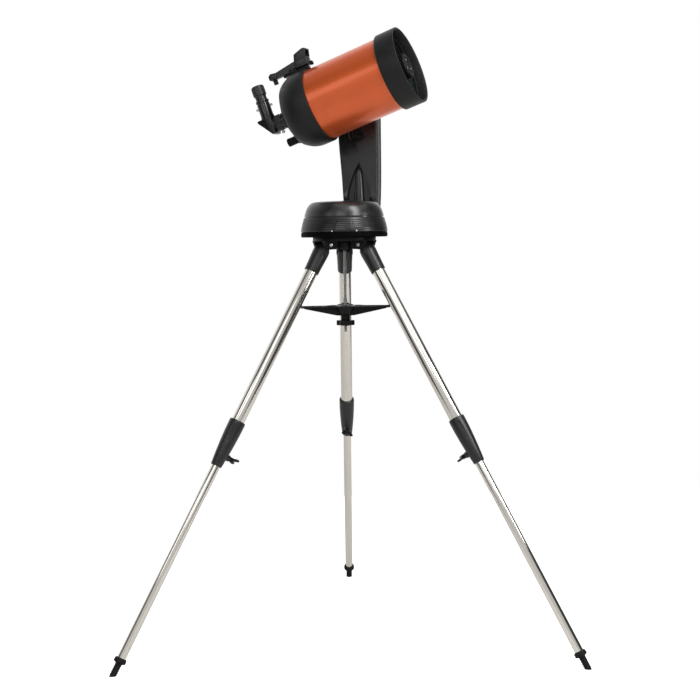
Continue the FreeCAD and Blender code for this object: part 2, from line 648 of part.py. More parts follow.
def finder_knob():
    knob = fused([rod(7, (-183, 0, 109), (-183, 0, 122)), rod(2.5, (-183, 0, 121), (-183, 0, 123))])
    return tube_place(knob)


# --- output -------------------------------------------------------------------------------------
def build():
    parts = {
        "tripod_head": tripod_head(), "captive_bolts": captive_bolts(), "hinge_bolts": hinge_bolts(),
        "center_rod": center_rod(), "accessory_tray": accessory_tray(), "support_nut": support_nut(),
        "base_plate": base_plate(), "azimuth_gear": azimuth_gear(), "base_skirt": base_skirt(),
        "base_dome": base_dome(), "battery_door": battery_door(), "battery_pack": battery_pack(),
        "drive_motors": drive_motors(), "azimuth_pinion": azimuth_pinion(),
        "altitude_pinion": altitude_pinion(), "altitude_gear": altitude_gear(),
        "power_switch": power_switch(), "arm_shell": arm_shell(), "arm_cover": arm_cover(),
        "saddle": saddle(), "saddle_knob": saddle_knob(), "dovetail_rail": dovetail_rail(),
        "optical_tube": optical_tube(), "front_cell": front_cell(), "corrector_plate": corrector_plate(),
        "secondary_housing": secondary_housing(), "secondary_mirror": secondary_mirror(),
        "primary_mirror": primary_mirror(), "baffle_tube": baffle_tube(), "rear_cell": rear_cell(),
        "focus_knob": focus_knob(), "visual_back": visual_back(), "visual_back_screw": visual_back_screw(),
        "star_diagonal": star_diagonal(), "diagonal_prism": diagonal_prism(),
        "diagonal_screw_front": diagonal_screw(1), "diagonal_screw_rear": diagonal_screw(-1),
        "eyepiece": eyepiece(), "finder_bracket": finder_bracket(), "finder_body": finder_body(),
        "finder_window": finder_window(), "finder_knob": finder_knob(),
    }
    for number, azimuth in LEG_AZIMUTHS.items():
        name = f"leg_{number}"
        parts[f"{name}_bracket"] = leg_place(leg_bracket(), azimuth)
        parts[f"{name}_upper_tube"] = leg_place(leg_upper_tube(), azimuth)
        parts[f"{name}_lock"] = leg_place(leg_lock(), azimuth)
        parts[f"{name}_wing_screw"] = leg_place(leg_wing_screw(), azimuth)
        parts[f"{name}_lower_tube"] = leg_place(leg_lower_tube(), azimuth)
        parts[f"{name}_foot"] = leg_foot(azimuth)
    return parts


os.makedirs("parts", exist_ok=True)
for node, shape in build().items():
    shape.translate(V(0, AXIS_Y, 0))
    if not shape.isValid() or shape.Volume <= 0:
        print("check", node, shape.isValid(), shape.Volume, len(shape.Solids))
    shape.exportStep(f"parts/{node}.step")
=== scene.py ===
# Looks of the Schmidt-Cassegrain telescope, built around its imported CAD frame. Blender 4.5, metres.
# Pieces are drawn in millimetres in four local spaces: the mount's, the telescope's, each leg's and
# the tripod's own, and each space has a matrix that puts it into the frame.
import json
from math import atan2, cos, degrees, pi, radians, sin, sqrt, tan

import bmesh
import bpy
from mathutils import Matrix, Vector


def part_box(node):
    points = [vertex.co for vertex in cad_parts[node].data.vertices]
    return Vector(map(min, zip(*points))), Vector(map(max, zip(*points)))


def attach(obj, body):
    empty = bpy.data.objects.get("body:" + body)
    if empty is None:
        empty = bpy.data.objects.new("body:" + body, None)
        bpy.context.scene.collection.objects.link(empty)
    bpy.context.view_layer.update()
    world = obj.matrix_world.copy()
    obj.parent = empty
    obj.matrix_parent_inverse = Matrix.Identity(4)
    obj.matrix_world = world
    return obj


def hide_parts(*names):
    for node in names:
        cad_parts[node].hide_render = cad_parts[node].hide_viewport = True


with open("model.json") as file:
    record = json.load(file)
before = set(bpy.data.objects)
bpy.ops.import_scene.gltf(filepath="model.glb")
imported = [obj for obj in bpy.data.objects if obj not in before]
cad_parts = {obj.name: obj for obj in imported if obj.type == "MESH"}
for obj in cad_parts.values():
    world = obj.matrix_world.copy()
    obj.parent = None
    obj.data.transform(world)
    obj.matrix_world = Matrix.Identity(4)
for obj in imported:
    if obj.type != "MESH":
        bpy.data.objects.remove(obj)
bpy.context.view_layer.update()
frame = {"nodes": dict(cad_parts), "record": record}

MM = 0.001

# --- where things are ---
low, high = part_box("center_rod")
AXIS = Vector(((low.x + high.x) / 2, (low.y + high.y) / 2, 0))
HEADING = -20.0
ELEVATION = 20.0
PIVOT_Z = 1628.0
LEG_TILT = 30.4
HINGE_R, HINGE_Z = 68.4, 1185.5
LEG_AZIMUTHS = {1: 210.0, 2: 330.0, 3: 90.0}

TRIPOD = Matrix.Translation(AXIS)
MOUNT = TRIPOD @ Matrix.Rotation(radians(HEADING), 4, "Z")
TUBE = MOUNT @ Matrix.Translation((0, 0, PIVOT_Z * MM)) @ Matrix.Rotation(-radians(ELEVATION), 4, "Y")


def leg_space(azimuth):
    """X outward from the tripod's axis, Y along the hinge, -Z down the leg."""
    return (TRIPOD @ Matrix.Rotation(radians(azimuth), 4, "Z")
            @ Matrix.Translation((HINGE_R * MM, 0, HINGE_Z * MM))
            @ Matrix.Rotation(-radians(LEG_TILT), 4, "Y"))


# --- camera ---
CAMERA_BACK, CAMERA_UP = 4.2913, 1.199
CAMERA_LENS = 73.8
CAMERA_YAW, CAMERA_PITCH, CAMERA_ROLL = -0.0028, 0.0765, -0.0141


def make_camera():
    data = bpy.data.cameras.new("camera")
    data.lens = CAMERA_LENS
    data.sensor_width = 36.0
    data.clip_end = 60.0
    camera = bpy.data.objects.new("camera", data)
    bpy.context.scene.collection.objects.link(camera)
    turn = (Matrix.Rotation(CAMERA_YAW, 4, "Z") @ Matrix.Rotation(pi / 2 - CAMERA_PITCH, 4, "X")
            @ Matrix.Rotation(CAMERA_ROLL, 4, "Z"))
    camera.matrix_world = Matrix.Translation((AXIS.x, AXIS.y - CAMERA_BACK, CAMERA_UP)) @ turn
    bpy.context.scene.camera = camera


# --- materials ---
class Graph:
    """A node tree, built a node at a time."""

    def __init__(self, tree):
        self.nodes, self.links = tree.nodes, tree.links

    def node(self, kind, inputs=None, **settings):
        made = self.nodes.new(kind)
        for key, value in settings.items():
            setattr(made, key, value)
        for key, value in (inputs or {}).items():
            self.feed(made.inputs[key], value)
        return made

    def feed(self, socket, value):
        if isinstance(value, bpy.types.NodeSocket):
            self.links.new(value, socket)
        else:
            socket.default_value = value

    def maths(self, operation, one, other, **settings):
        made = self.node("ShaderNodeMath", {0: one, 1: other}, operation=operation, **settings)
        return made.outputs[0]

    def ramp(self, value, stops):
        made = self.node("ShaderNodeValToRGB", {"Fac": value})
        elements = made.color_ramp.elements
        while len(elements) < len(stops):
            elements.new(0.5)
        for element, (place, color) in zip(elements, stops):
            element.position = place
            element.color = color if len(color) == 4 else (*color, 1.0)
        return made.outputs["Color"]

    def span(self, value, low, high, start=0.0, end=1.0):
        """value, from start to end, mapped to low to high."""
        made = self.node("ShaderNodeMapRange", {"Value": value, "From Min": start, "From Max": end,
                                                "To Min": low, "To Max": high})
        return made.outputs["Result"]

    def mixed(self, amount, one, other):
        made = self.node("ShaderNodeMix", {"Factor": amount}, data_type="RGBA")
        self.feed(made.inputs[6], one)
        self.feed(made.inputs[7], other)
        return made.outputs[2]


class Finish(Graph):
    """A material. Its textures are in object coordinates, in metres."""

    def __init__(self, name):
        self.material = bpy.data.materials.new(name)
        self.material.use_nodes = True
        super().__init__(self.material.node_tree)
        self.shader = self.nodes["Principled BSDF"]
        self.place = self.node("ShaderNodeTexCoord").outputs["Object"]

    def noise(self, scale, detail=3.0, stretch=(1, 1, 1)):
        """Noise of so many grains to the metre, with each axis scaled by stretch."""
        where = self.node("ShaderNodeMapping", {"Vector": self.place, "Scale": stretch}).outputs["Vector"]
        made = self.node("ShaderNodeTexNoise", {"Vector": where, "Scale": scale, "Detail": detail,
                                                "Roughness": 0.55})
        return made.outputs["Fac"]

    def worn_edges(self, radius):
        """0 on flat faces, rising to 1 on edges."""
        soft = self.node("ShaderNodeBevel", {"Radius": radius}, samples=4).outputs["Normal"]
        hard = self.node("ShaderNodeNewGeometry").outputs["Normal"]
        dot = self.node("ShaderNodeVectorMath", {0: soft, 1: hard}, operation="DOT_PRODUCT")
        return self.span(dot.outputs["Value"], 1.0, 0.0, 0.82, 0.995)

    def bump(self, height, strength, distance):
        made = self.node("ShaderNodeBump", {"Height": height, "Strength": strength, "Distance": distance})
        self.feed(self.shader.inputs["Normal"], made.outputs["Normal"])

    def set(self, **values):
        for key, value in values.items():
            self.feed(self.shader.inputs[key.replace("_", " ")], value)


def grey(value):
    return (value, value, value * 1.03, 1.0)


def moulded(name, dark, light, rough, grain, bump, wear, gloss):
    """Moulded or powder-coated black: mottled colour, fine grain, edges rubbed lighter."""
    g = Finish(name)
    mottle = g.noise(38.0, 4.0)
    fine = g.noise(grain, 2.0)
    base = g.ramp(mottle, [(0.3, grey(dark)), (0.7, grey(light))])
    edge = g.worn_edges(0.0009)
    rubbed = g.span(g.noise(90.0, 3.0), 0.3, 1.0, 0.35, 0.65)
    amount = g.maths("MULTIPLY", g.maths("MULTIPLY", edge, rubbed), wear * 4, use_clamp=True)
    g.set(Base_Color=g.mixed(amount, base, grey(light * 3.5)), Specular_IOR_Level=gloss,
          Roughness=g.span(mottle, rough - 0.04, rough + 0.05, 0.3, 0.7))
    g.bump(fine, bump, 0.0004)
    return g.material


def orange_paint():
    """Metallic orange: flake sparkle, slow colour drift, clear coat with faint orange peel."""
    g = Finish("orange_paint")
    drift = g.noise(7.0, 2.0)
    flake = g.node("ShaderNodeTexVoronoi", {"Vector": g.place, "Scale": 2600.0}).outputs["Color"]
    spark = g.node("ShaderNodeSeparateColor", {"Color": flake}).outputs["Red"]
    base = g.ramp(drift, [(0.3, (0.68, 0.094, 0.018)), (0.7, (0.76, 0.114, 0.023))])
    color = g.mixed(g.span(spark, 0.0, 0.22), base, (0.95, 0.30, 0.10, 1.0))
    g.set(Base_Color=color, Metallic=0.62, Roughness=g.span(spark, 0.30, 0.42),
          Coat_Weight=0.45, Coat_Roughness=0.10)
    g.bump(g.noise(420.0, 2.0), 0.05, 0.0003)
    return g.material


def polished_steel(tint, rough):
    """Stainless tube, polished lengthwise: long fine scratches and a few smudges."""
    g = Finish("polished_steel")
    scratch = g.noise(900.0, 4.0, (1.0, 1.0, 0.012))
    smudge = g.noise(16.0, 3.0)
    color = g.ramp(scratch, [(0.3, tuple(c * 0.86 for c in tint)), (0.7, tint)])
    roughness = g.maths("ADD", g.span(scratch, rough * 0.75, rough * 1.3, 0.3, 0.7),
                        g.span(smudge, 0.0, 0.07, 0.45, 0.75))
    g.set(Base_Color=color, Metallic=1.0, Roughness=roughness, Anisotropic=0.35)
    g.bump(scratch, 0.03, 0.0002)
    return g.material


def anodised(value, rough):
    """Black anodised aluminium with fine turning marks."""
    g = Finish("dark_anodised")
    marks = g.noise(1500.0, 2.0, (1.0, 0.05, 0.05))
    tone = g.noise(60.0, 3.0)
    color = g.ramp(tone, [(0.3, grey(value)), (0.7, grey(value * 1.5))])
    edge = g.worn_edges(0.0005)
    g.set(Base_Color=g.mixed(g.span(edge, 0.0, 0.45), color, grey(0.28)), Metallic=0.75,
          Roughness=g.span(marks, rough * 0.8, rough * 1.25, 0.3, 0.7))
    g.bump(marks, 0.08, 0.0002)
    return g.material


def bright_metal(name, tint, rough):
    g = Finish(name)
    marks = g.noise(700.0, 3.0, (1.0, 1.0, 0.1))
    tone = g.noise(120.0, 2.0)
    g.set(Base_Color=g.ramp(tone, [(0.3, tuple(c * 0.8 for c in tint)), (0.7, tint)]), Metallic=1.0,
          Roughness=g.span(marks, rough * 0.7, rough * 1.4, 0.3, 0.7))
    g.bump(marks, 0.08, 0.0002)
    return g.material


def coated_glass(name, tint):
    g = Finish(name)
    haze = g.noise(30.0, 3.0)
    g.set(Base_Color=g.ramp(haze, [(0.3, tint), (0.7, tuple(min(1.0, c * 1.04) for c in tint))]),
          Roughness=g.span(haze, 0.0, 0.02, 0.3, 0.7), Transmission_Weight=1.0,
          IOR=1.5, Coat_Weight=0.4, Coat_Tint=(0.55, 0.9, 0.75, 1.0))
    return g.material


def mirror_coat():
    g = Finish("mirror_coat")
    dust = g.noise(300.0, 4.0)
    g.set(Base_Color=g.ramp(dust, [(0.3, (0.90, 0.91, 0.93)), (0.7, (0.95, 0.96, 0.97))]), Metallic=1.0,
          Roughness=g.span(dust, 0.02, 0.05, 0.3, 0.7))
    return g.material


def sleeve():
    g = Finish("cell_sleeve")
    band = g.noise(40.0, 1.0)
    g.set(Base_Color=g.ramp(band, [(0.45, (0.05, 0.09, 0.16)), (0.55, (0.10, 0.16, 0.26))]), Roughness=0.35)
    g.bump(g.noise(500.0, 2.0), 0.05, 0.0002)
    return g.material


# Two dark tones, roughness, grain size, bump, wear and gloss of each moulded finish.
MOULDED = {
    "black_cell": (0.007, 0.010, 0.46, 1500.0, 0.20, 0.05, 0.28),
    "black_casting": (0.004, 0.007, 0.40, 1100.0, 0.28, 0.12, 0.20),
    "black_plastic": (0.004, 0.007, 0.36, 1900.0, 0.12, 0.06, 0.18),
    "glossy_plastic": (0.012, 0.018, 0.24, 1900.0, 0.05, 0.05, 0.60),
    "satin_plastic": (0.009, 0.014, 0.33, 1900.0, 0.10, 0.06, 0.50),
    # Near-black and matt: its dark tones are painted shade, darker than the plate's own black plastic,
    # standing in for the shade under the skirt's edge.
    "matt_painted_shade_plastic": (0.001, 0.002, 0.6, 1500.0, 0.20, 0.02, 0.05),
    "black_rubber": (0.003, 0.005, 0.55, 1300.0, 0.26, 0.03, 0.25),
}
METALS = {
    "bright_hardware": ((0.80, 0.80, 0.80), 0.22),
    "zinc_rod": ((0.60, 0.60, 0.60), 0.34),
    "gear_brass": ((0.72, 0.52, 0.22), 0.28),
    "motor_steel": ((0.42, 0.42, 0.43), 0.32),
}
FINISHES = {
    "orange_tube": orange_paint(),
    "polished_steel": polished_steel((0.86, 0.83, 0.77), 0.10),
    "dark_anodised": anodised(0.034, 0.17),
    "corrector_glass": coated_glass("corrector_glass", (0.96, 0.99, 0.98)),
    "mirror_glass": mirror_coat(),
    "prism_glass": coated_glass("prism_glass", (0.92, 0.96, 0.97)),
    "cell_label": sleeve(),
}
FINISHES.update({name: moulded(name, *values) for name, values in MOULDED.items()})
FINISHES.update({name: bright_metal(name, *values) for name, values in METALS.items()})
SLOTS = {row["node"]: row["material_slot"] for row in frame["record"]["subparts"]}


# --- mesh helpers, all in millimetres ---
def circle(radius, steps):
    """Points on a circle; radius is a number, or a function of the angle."""
    points = []
    for i in range(steps):
        angle = 2 * pi * i / steps
        r = radius(angle) if callable(radius) else radius
        points.append((r * cos(angle), r * sin(angle)))
    return points


def turned(outline, steps=96, axis="Z"):
    """A closed (radius, distance) outline swept about an axis."""
    bm = bmesh.new()
    rows = []
    for radius, distance in outline:
        ring = circle(radius, 1 if radius < 1e-6 else steps)
        rows.append([bm.verts.new((*side, distance) if axis == "Z" else (distance, *side)) for side in ring])
    for one, other in zip(rows, rows[1:] + rows[:1]):
        for i in range(steps):
            a, b = one[i % len(one)], one[(i + 1) % len(one)]
            c, d = other[(i + 1) % len(other)], other[i % len(other)]
            corners = [v for k, v in enumerate((a, b, c, d)) if v not in (a, b, c, d)[:k]]
            if len(corners) > 2:
                bm.faces.new(corners)
    bmesh.ops.recalc_face_normals(bm, faces=bm.faces)
    return bm


def lathed(outline, radius, steps=96, axis="Z", rounds=3):
    """A closed outline with its corners rounded, swept about an axis."""
    return turned(softened(outline, radius, rounds), steps, axis)


def softened(outline, radius, steps=3):
    """An outline with every clear corner rounded."""
    soft = []
    for i, point in enumerate(outline):
        here = Vector(point)
        before, after = Vector(outline[i - 1]) - here, Vector(outline[(i + 1) % len(outline)]) - here
        if before.length < 1e-6 or after.length < 1e-6:
            continue
        angle = before.angle(after)
        if angle > radians(165) or abs(here.x) < 1e-6:
            soft.append(tuple(here))
            continue
        reach = min(radius / tan(angle / 2), 0.45 * before.length, 0.45 * after.length)
        one, other = here + before.normalized() * reach, here + after.normalized() * reach
        for k in range(steps + 1):
            t = k / steps
            soft.append(tuple(one * (1 - t) ** 2 + here * (2 * t * (1 - t)) + other * t * t))
    return soft


def pushed(outline, depth):
    """A closed outline of 3-D points pushed along a direction."""
    bm = bmesh.new()
    near = [bm.verts.new(p) for p in outline]
    far = [bm.verts.new(Vector(p) + Vector(depth)) for p in outline]
    bm.faces.new(near)
    bm.faces.new(list(reversed(far)))
    for i in range(len(near)):
        j = (i + 1) % len(near)
        bm.faces.new([near[j], near[i], far[i], far[j]])
    bmesh.ops.recalc_face_normals(bm, faces=bm.faces)
    return bm


def block(x0, x1, y0, y1, z0, z1):
    return pushed([(x0, y0, z0), (x1, y0, z0), (x1, y1, z0), (x0, y1, z0)], (0, 0, z1 - z0))


def rod(radius, start, end, steps=48, edge=0.0):
    """A cylinder between two points, with rounded rims if edge is given."""
    run = Vector(end) - Vector(start)
    outline = [(0, 0), (radius, 0), (radius, run.length), (0, run.length)]
    bm = turned(softened(outline, edge) if edge else outline, steps)
    turn = Vector((0, 0, 1)).rotation_difference(run).to_matrix().to_4x4()
    bmesh.ops.transform(bm, matrix=Matrix.Translation(start) @ turn, verts=bm.verts)
    return bm


def moved(bm, shift=(0, 0, 0), angle=0.0, axis="Z"):
    """A copy turned about an axis through the origin, then shifted."""
    copy = bm.copy()
    place = Matrix.Translation(shift) @ Matrix.Rotation(radians(angle), 4, axis)
    bmesh.ops.transform(copy, matrix=place, verts=copy.verts)
    return copy


def scratch_object(bm):
    mesh = bpy.data.meshes.new("scratch")
    bm.to_mesh(mesh)
    thing = bpy.data.objects.new("scratch", mesh)
    bpy.context.scene.collection.objects.link(thing)
    return thing


def settled(thing):
    """The mesh of an object with its modifiers applied, as a bmesh. The object is removed."""
    bpy.context.view_layer.update()
    shape = thing.evaluated_get(bpy.context.evaluated_depsgraph_get())
    bm = bmesh.new()
    bm.from_mesh(shape.to_mesh())
    mesh = thing.data
    bpy.data.objects.remove(thing)
    bpy.data.meshes.remove(mesh)
    return bm


def combined(base, others, operation):
    """base with each of the others united with it or cut from it."""
    thing = scratch_object(base)
    helpers = []
    for other in others:
        helper = scratch_object(other)
        helper.hide_render = True
        helpers.append(helper)
        modifier = thing.modifiers.new("boolean", "BOOLEAN")
        modifier.operation = operation
        modifier.solver = "EXACT"
        modifier.object = helper
    bm = settled(thing)
    for helper in helpers:
        mesh = helper.data
        bpy.data.objects.remove(helper)
        bpy.data.meshes.remove(mesh)
    return bm


def union(base, *others):
    return combined(base, others, "UNION")


def cut(base, *others):
    return combined(base, others, "DIFFERENCE")


def bevelled(bm, width, steps=2, angle=30):
    """Every edge sharper than angle rounded off."""
    bmesh.ops.remove_doubles(bm, verts=bm.verts, dist=0.01)
    bmesh.ops.dissolve_limit(bm, angle_limit=radians(0.5), verts=bm.verts, edges=bm.edges)
    thing = scratch_object(bm)
    modifier = thing.modifiers.new("bevel", "BEVEL")
    modifier.width = width
    modifier.segments = steps
    modifier.limit_method = "ANGLE"
    modifier.angle_limit = radians(angle)
    modifier.miter_outer = "MITER_ARC"
    return settled(thing)


def piece(name, bm, place, body, finish, replaced=(), bevel=0.0, sharp=35, look=None):
    """Makes an object of a bmesh drawn in millimetres, and hangs it on a CAD body.

    finish is the record's material slot; look is another finish to show for it."""
    if bevel:
        bm = bevelled(bm, bevel)
    bmesh.ops.scale(bm, vec=(MM, MM, MM), verts=bm.verts)
    mesh = bpy.data.meshes.new(name)
    bm.to_mesh(mesh)
    bm.free()
    mesh.polygons.foreach_set("use_smooth", [True] * len(mesh.polygons))
    mesh.set_sharp_from_angle(angle=radians(sharp))
    thing = bpy.data.objects.new(name, mesh)
    bpy.context.scene.collection.objects.link(thing)
    thing.matrix_world = place
    mesh.materials.append(FINISHES[look or finish])
    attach(thing, body)
    if replaced:
        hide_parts(*replaced)


def cad_copy(node):
    """A CAD node's mesh in millimetres, in the frame."""
    bm = bmesh.new()
    bm.from_mesh(frame["nodes"][node].data)
    bmesh.ops.scale(bm, vec=(1 / MM, 1 / MM, 1 / MM), verts=bm.verts)
    return bm


def refined(node):
    """A visible copy of a CAD node with its edges rounded."""
    body = next(b for b, names in frame["record"]["behaviour"]["bodies"].items() if node in names)
    piece(node + "_shell", cad_copy(node), Matrix.Identity(4), body, SLOTS[node], [node], bevel=0.6)


# --- tripod ---
BOLT_BORE = 4.05
BRACKET_END = 91.5
UPPER_R, LOWER_R, TUBE_WALL = 19.05, 12.7, 1.2
LOCK_START, LOCK_END = 582.0, 726.0
WING_S = 690.0
WING_TURN = 70.0
FOOT_CAP_START, FOOT_CAP_END = 1320.0, 1335.0
FOOT_RIBS, FOOT_RIB_PITCH = 5, 7.0
FOOT_AXIS_S = HINGE_Z / cos(radians(LEG_TILT))
ROD_R, ROD_PITCH, ROD_BOTTOM, ROD_TOP = 4.5, 1.5, 925.0, 1207.0
NUT_Z = 945.0
TRAY_TOP, TRAY_TIP, TRAY_WAIST, TRAY_THICK = 1004.0, 146.0, 58.0, 3.5
EYEPIECE_HOLE_R = 15.9
CAPTIVE_R = 62.0


def leg_bracket(name, place, body):
    shell = lathed([(0, -BRACKET_END), (22, -BRACKET_END), (22.2, -83), (23, -60), (24.5, -26), (23, -13),
                    (0, -13)], 1.2)
    parts = [rod(10, (0, -25, 0), (0, 25, 0), edge=0.8), block(-10, 10, -25, 25, -27, 0)]
    for side in (-1, 1):
        parts.append(block(-3, 3, side * 23.2 - 1.5, side * 23.2 + 1.5, -70, -18))
    shell = union(shell, *parts)
    slots = [moved(block(22.3, 30, -3.5, 3.5, -78, -34), angle=a) for a in (-90, 90)]
    shell = cut(shell, rod(BOLT_BORE, (0, -30, 0), (0, 30, 0)),
                rod(UPPER_R + 0.01, (0, 0, -100), (0, 0, -40), 96), *slots)
    piece(name + "_collar", shell, place, body, "black_plastic", [name + "_bracket"], bevel=0.5,
          look="satin_plastic")


def leg_tube(node, radius, start, end, place, body):
    inner = radius - TUBE_WALL
    steel = lathed([(inner, -end), (radius, -end), (radius, -start), (inner, -start)], 0.4, 128)
    piece(node + "_steel", steel, place, body, "polished_steel", [node])


def leg_lock(name, place, body):
    outline = [(0, -LOCK_START), (23.2, -LOCK_START), (24, -LOCK_START - 6), (23.6, -620), (22, -655),
               (19.6, -690), (16.6, -LOCK_END + 4), (15.5, -LOCK_END), (0, -LOCK_END)]
    shell = lathed(outline, 2.5, rounds=4)
    boss = rod(9.5, (0, 0, -WING_S), (-27, 0, -WING_S), edge=1.0)
    panel = [moved(block(21.9, 26, -6, 6, -650, -596), angle=a) for a in (60, 180, 300)]
    shell = cut(union(shell, boss), *panel)
    shell = cut(shell, rod(UPPER_R + 0.02, (0, 0, -675), (0, 0, -LOCK_START + 1), 96),
                rod(LOWER_R + 0.05, (0, 0, -LOCK_END - 1), (0, 0, -674), 96),
                rod(BOLT_BORE, (0, 0, -WING_S), (-30, 0, -WING_S)))
    piece(name + "_clamp_housing", shell, place, body, "black_plastic", [name + "_lock"], bevel=0.5,
          look="satin_plastic")


def leg_wing_screw(name, place, body):
    hub = lathed([(0, 12.9), (3.9, 12.9), (3.9, 28), (7.5, 28), (6.8, 40), (4, 43), (0, 43)], 0.8, 48)
    leaf = []
    spread = 10
    for i in range(spread + 1):
        t = i / spread
        leaf.append((-(6 + 13 * sin(t * pi / 2)), 33 + 19 * t ** 1.3))
    tip = [(-12, 55.5), (-5, 49), (0, 46.5)]
    half = leaf + tip
    outline = half + [(-x, z) for x, z in reversed(half[:-1])]
    blade = pushed([(x, -2.4, z) for x, z in outline], (0, 4.8, 0))
    screw = union(hub, bevelled(blade, 1.4, 3))
    screw = moved(screw, angle=WING_TURN)
    screw = moved(screw, shift=(0, 0, -WING_S), angle=-90, axis="Y")
    piece(name + "_wing", screw, place, body, "black_plastic", [name + "_wing_screw"])


def leg_foot(name, place, body):
    """A ribbed rubber foot, cut off level with the ground."""
    beyond = FOOT_AXIS_S + 12
    outline = [(0, -FOOT_CAP_START), (14.5, -FOOT_CAP_START), (17.6, -FOOT_CAP_START - 3.5),
               (18, -FOOT_CAP_END + 2), (15, -FOOT_CAP_END), (10.2, -FOOT_CAP_END - 2)]
    for i in range(FOOT_RIBS):
        s = FOOT_CAP_END + 5 + i * FOOT_RIB_PITCH
        outline += [(9.0, -s), (10.2, -s - 1.2), (10.2, -s - 2.8), (9.0, -s - 4.0)]
    outline += [(8.6, -beyond), (0, -beyond)]
    foot = cut(lathed(outline, 1.0, 72), rod(LOWER_R, (0, 0, -1330), (0, 0, -FOOT_CAP_START + 1), 72))
    standing = place @ Matrix.Diagonal((MM, MM, MM, 1))
    bmesh.ops.transform(foot, matrix=standing, verts=foot.verts)
    cutting = bmesh.ops.bisect_plane(foot, geom=foot.verts[:] + foot.edges[:] + foot.faces[:],
                                     plane_co=(0, 0, 0), plane_no=(0, 0, -1), clear_outer=True)
    rim = [e for e in cutting["geom_cut"] if isinstance(e, bmesh.types.BMEdge)]
    bmesh.ops.holes_fill(foot, edges=rim)
    bmesh.ops.transform(foot, matrix=standing.inverted(), verts=foot.verts)
    piece(name + "_rubber", foot, place, body, "black_rubber", [name + "_foot"])


def make_legs():
    for number, azimuth in LEG_AZIMUTHS.items():
        name = f"leg_{number}"
        place = leg_space(azimuth)
        leg_bracket(name, place, name)
        leg_tube(name + "_upper_tube", UPPER_R, 40.0, 675.0, place, name)
        leg_lock(name, place, name)
        leg_wing_screw(name, place, name + "_wing_screw")
        leg_tube(name + "_lower_tube", LOWER_R, 600.0, 1330.0, place, name + "_lower")
        leg_foot(name, place, name + "_lower")


def threaded_rod():
    """The centre rod, its thread cut as a fine stack of vee grooves."""
    root = ROD_R - 0.75
    outline = [(0, ROD_BOTTOM), (ROD_R - 1, ROD_BOTTOM)]
    for i in range(int((ROD_TOP - ROD_BOTTOM - 2) / ROD_PITCH)):
        z = ROD_BOTTOM + 1 + i * ROD_PITCH
        outline += [(root, z), (ROD_R, z + ROD_PITCH / 2)]
    outline += [(root, ROD_TOP - 0.5), (0, ROD_TOP)]
    piece("center_rod_thread", turned(outline, 40), TRIPOD, "tripod", "zinc_rod", ["center_rod"])


def support_knob():
    """Six-lobed nut under the tray."""
    lobes = circle(lambda angle: 24.2 + 2.8 * cos(6 * angle), 120)
    body = bevelled(pushed([(x, y, NUT_Z) for x, y in lobes], (0, 0, 15)), 2.0, 4)
    collar = lathed([(0, -1.5), (10, -1.5), (11, 0), (11, 5), (0, 5)], 0.6, 48)
    knob = cut(union(body, moved(collar, shift=(0, 0, NUT_Z))),
               rod(ROD_R + 0.05, (0, 0, NUT_Z - 5), (0, 0, NUT_Z + 25)))
    piece("support_nut_knob", knob, TRIPOD, "support_nut", "black_plastic", ["support_nut"])


def tray():
    """Three-armed tray: a dished plate with ribs underneath, cradles at its tips and eyepiece holes."""
    top, tip = TRAY_TOP, TRAY_TIP
    outline = []
    for azimuth in sorted(LEG_AZIMUTHS.values()):
        arm, waist = radians(azimuth), radians(azimuth + 60)
        for offset in (-5.0, 5.0):
            angle = arm + radians(offset)
            outline.append((tip - 6, angle))
        for k in range(1, 8):
            t = k / 8
            angle = arm + radians(5 + 110 * t)
            aside = abs(angle - waist)
            radius = TRAY_WAIST / cos(aside) if aside < radians(54.9) else tip
            outline.append((min(radius, tip - 6), angle))
    points = [(r * cos(a), r * sin(a), top - TRAY_THICK) for r, a in outline]
    plate = pushed(points, (0, 0, TRAY_THICK))
    parts = [turned([(0, top - 30), (17, top - 30), (19, top - 28), (36, top - 3.4), (0, top - 3.4)], 72),
             rod(13.5, (0, 0, top - 44), (0, 0, top), 72, edge=1.0)]
    rib = pushed([(10, -2, top - 3), (tip - 8, -2, top - 3), (tip - 8, -2, top - 6.5), (30, -2, top - 29),
                  (10, -2, top - 30)], (0, 4, 0))
    cradle = cut(block(tip - 12, tip, -10, 10, top - 4.5, top + 3),
                 rod(7, (tip - 20, 0, top + 7), (tip + 5, 0, top + 7)))
    edge = pushed([(34, -1.6, top), (tip - 12, -1.6, top), (tip - 12, -1.6, top + 3), (34, -1.6, top + 1.5)],
                  (0, 3.2, 0))
    for azimuth in LEG_AZIMUTHS.values():
        parts += [moved(rib, angle=azimuth), moved(cradle, angle=azimuth), moved(edge, angle=azimuth)]
    body = union(plate, *parts)
    holes = [rod(ROD_R + 0.1, (0, 0, 950), (0, 0, top + 6))]
    for azimuth, side in ((90, 1), (90, -1), (210, 1), (330, 1)):
        hole = rod(EYEPIECE_HOLE_R, (60, side * 27, top - 14), (60, side * 27, top + 8), 64)
        holes.append(moved(hole, angle=azimuth))
    body = cut(body, *holes)
    piece("accessory_tray_casting", body, TRIPOD, "tray", "black_casting", ["accessory_tray"], bevel=0.6)


def captive_knobs():
    """Fluted knobs of the three bolts that hold the base to the tripod head."""
    body = lathed([(0, 1174), (6.8, 1174), (8.5, 1176), (8.5, 1191), (7, 1195.5), (3.9, 1195.9), (3.9, 1216),
                   (0, 1216)], 0.7, 60)
    flutes = [moved(rod(1.1, (9.0, 0, 1172), (9.0, 0, 1192), 16), angle=a) for a in range(0, 360, 30)]
    body = cut(body, *flutes)
    for number, azimuth in LEG_AZIMUTHS.items():
        knob = moved(moved(body, shift=(CAPTIVE_R, 0, 0)), angle=azimuth + 60)
        piece(f"captive_bolt_{number}", knob, TRIPOD, "tripod", "black_plastic",
              ["captive_bolts"] if number == 1 else [])


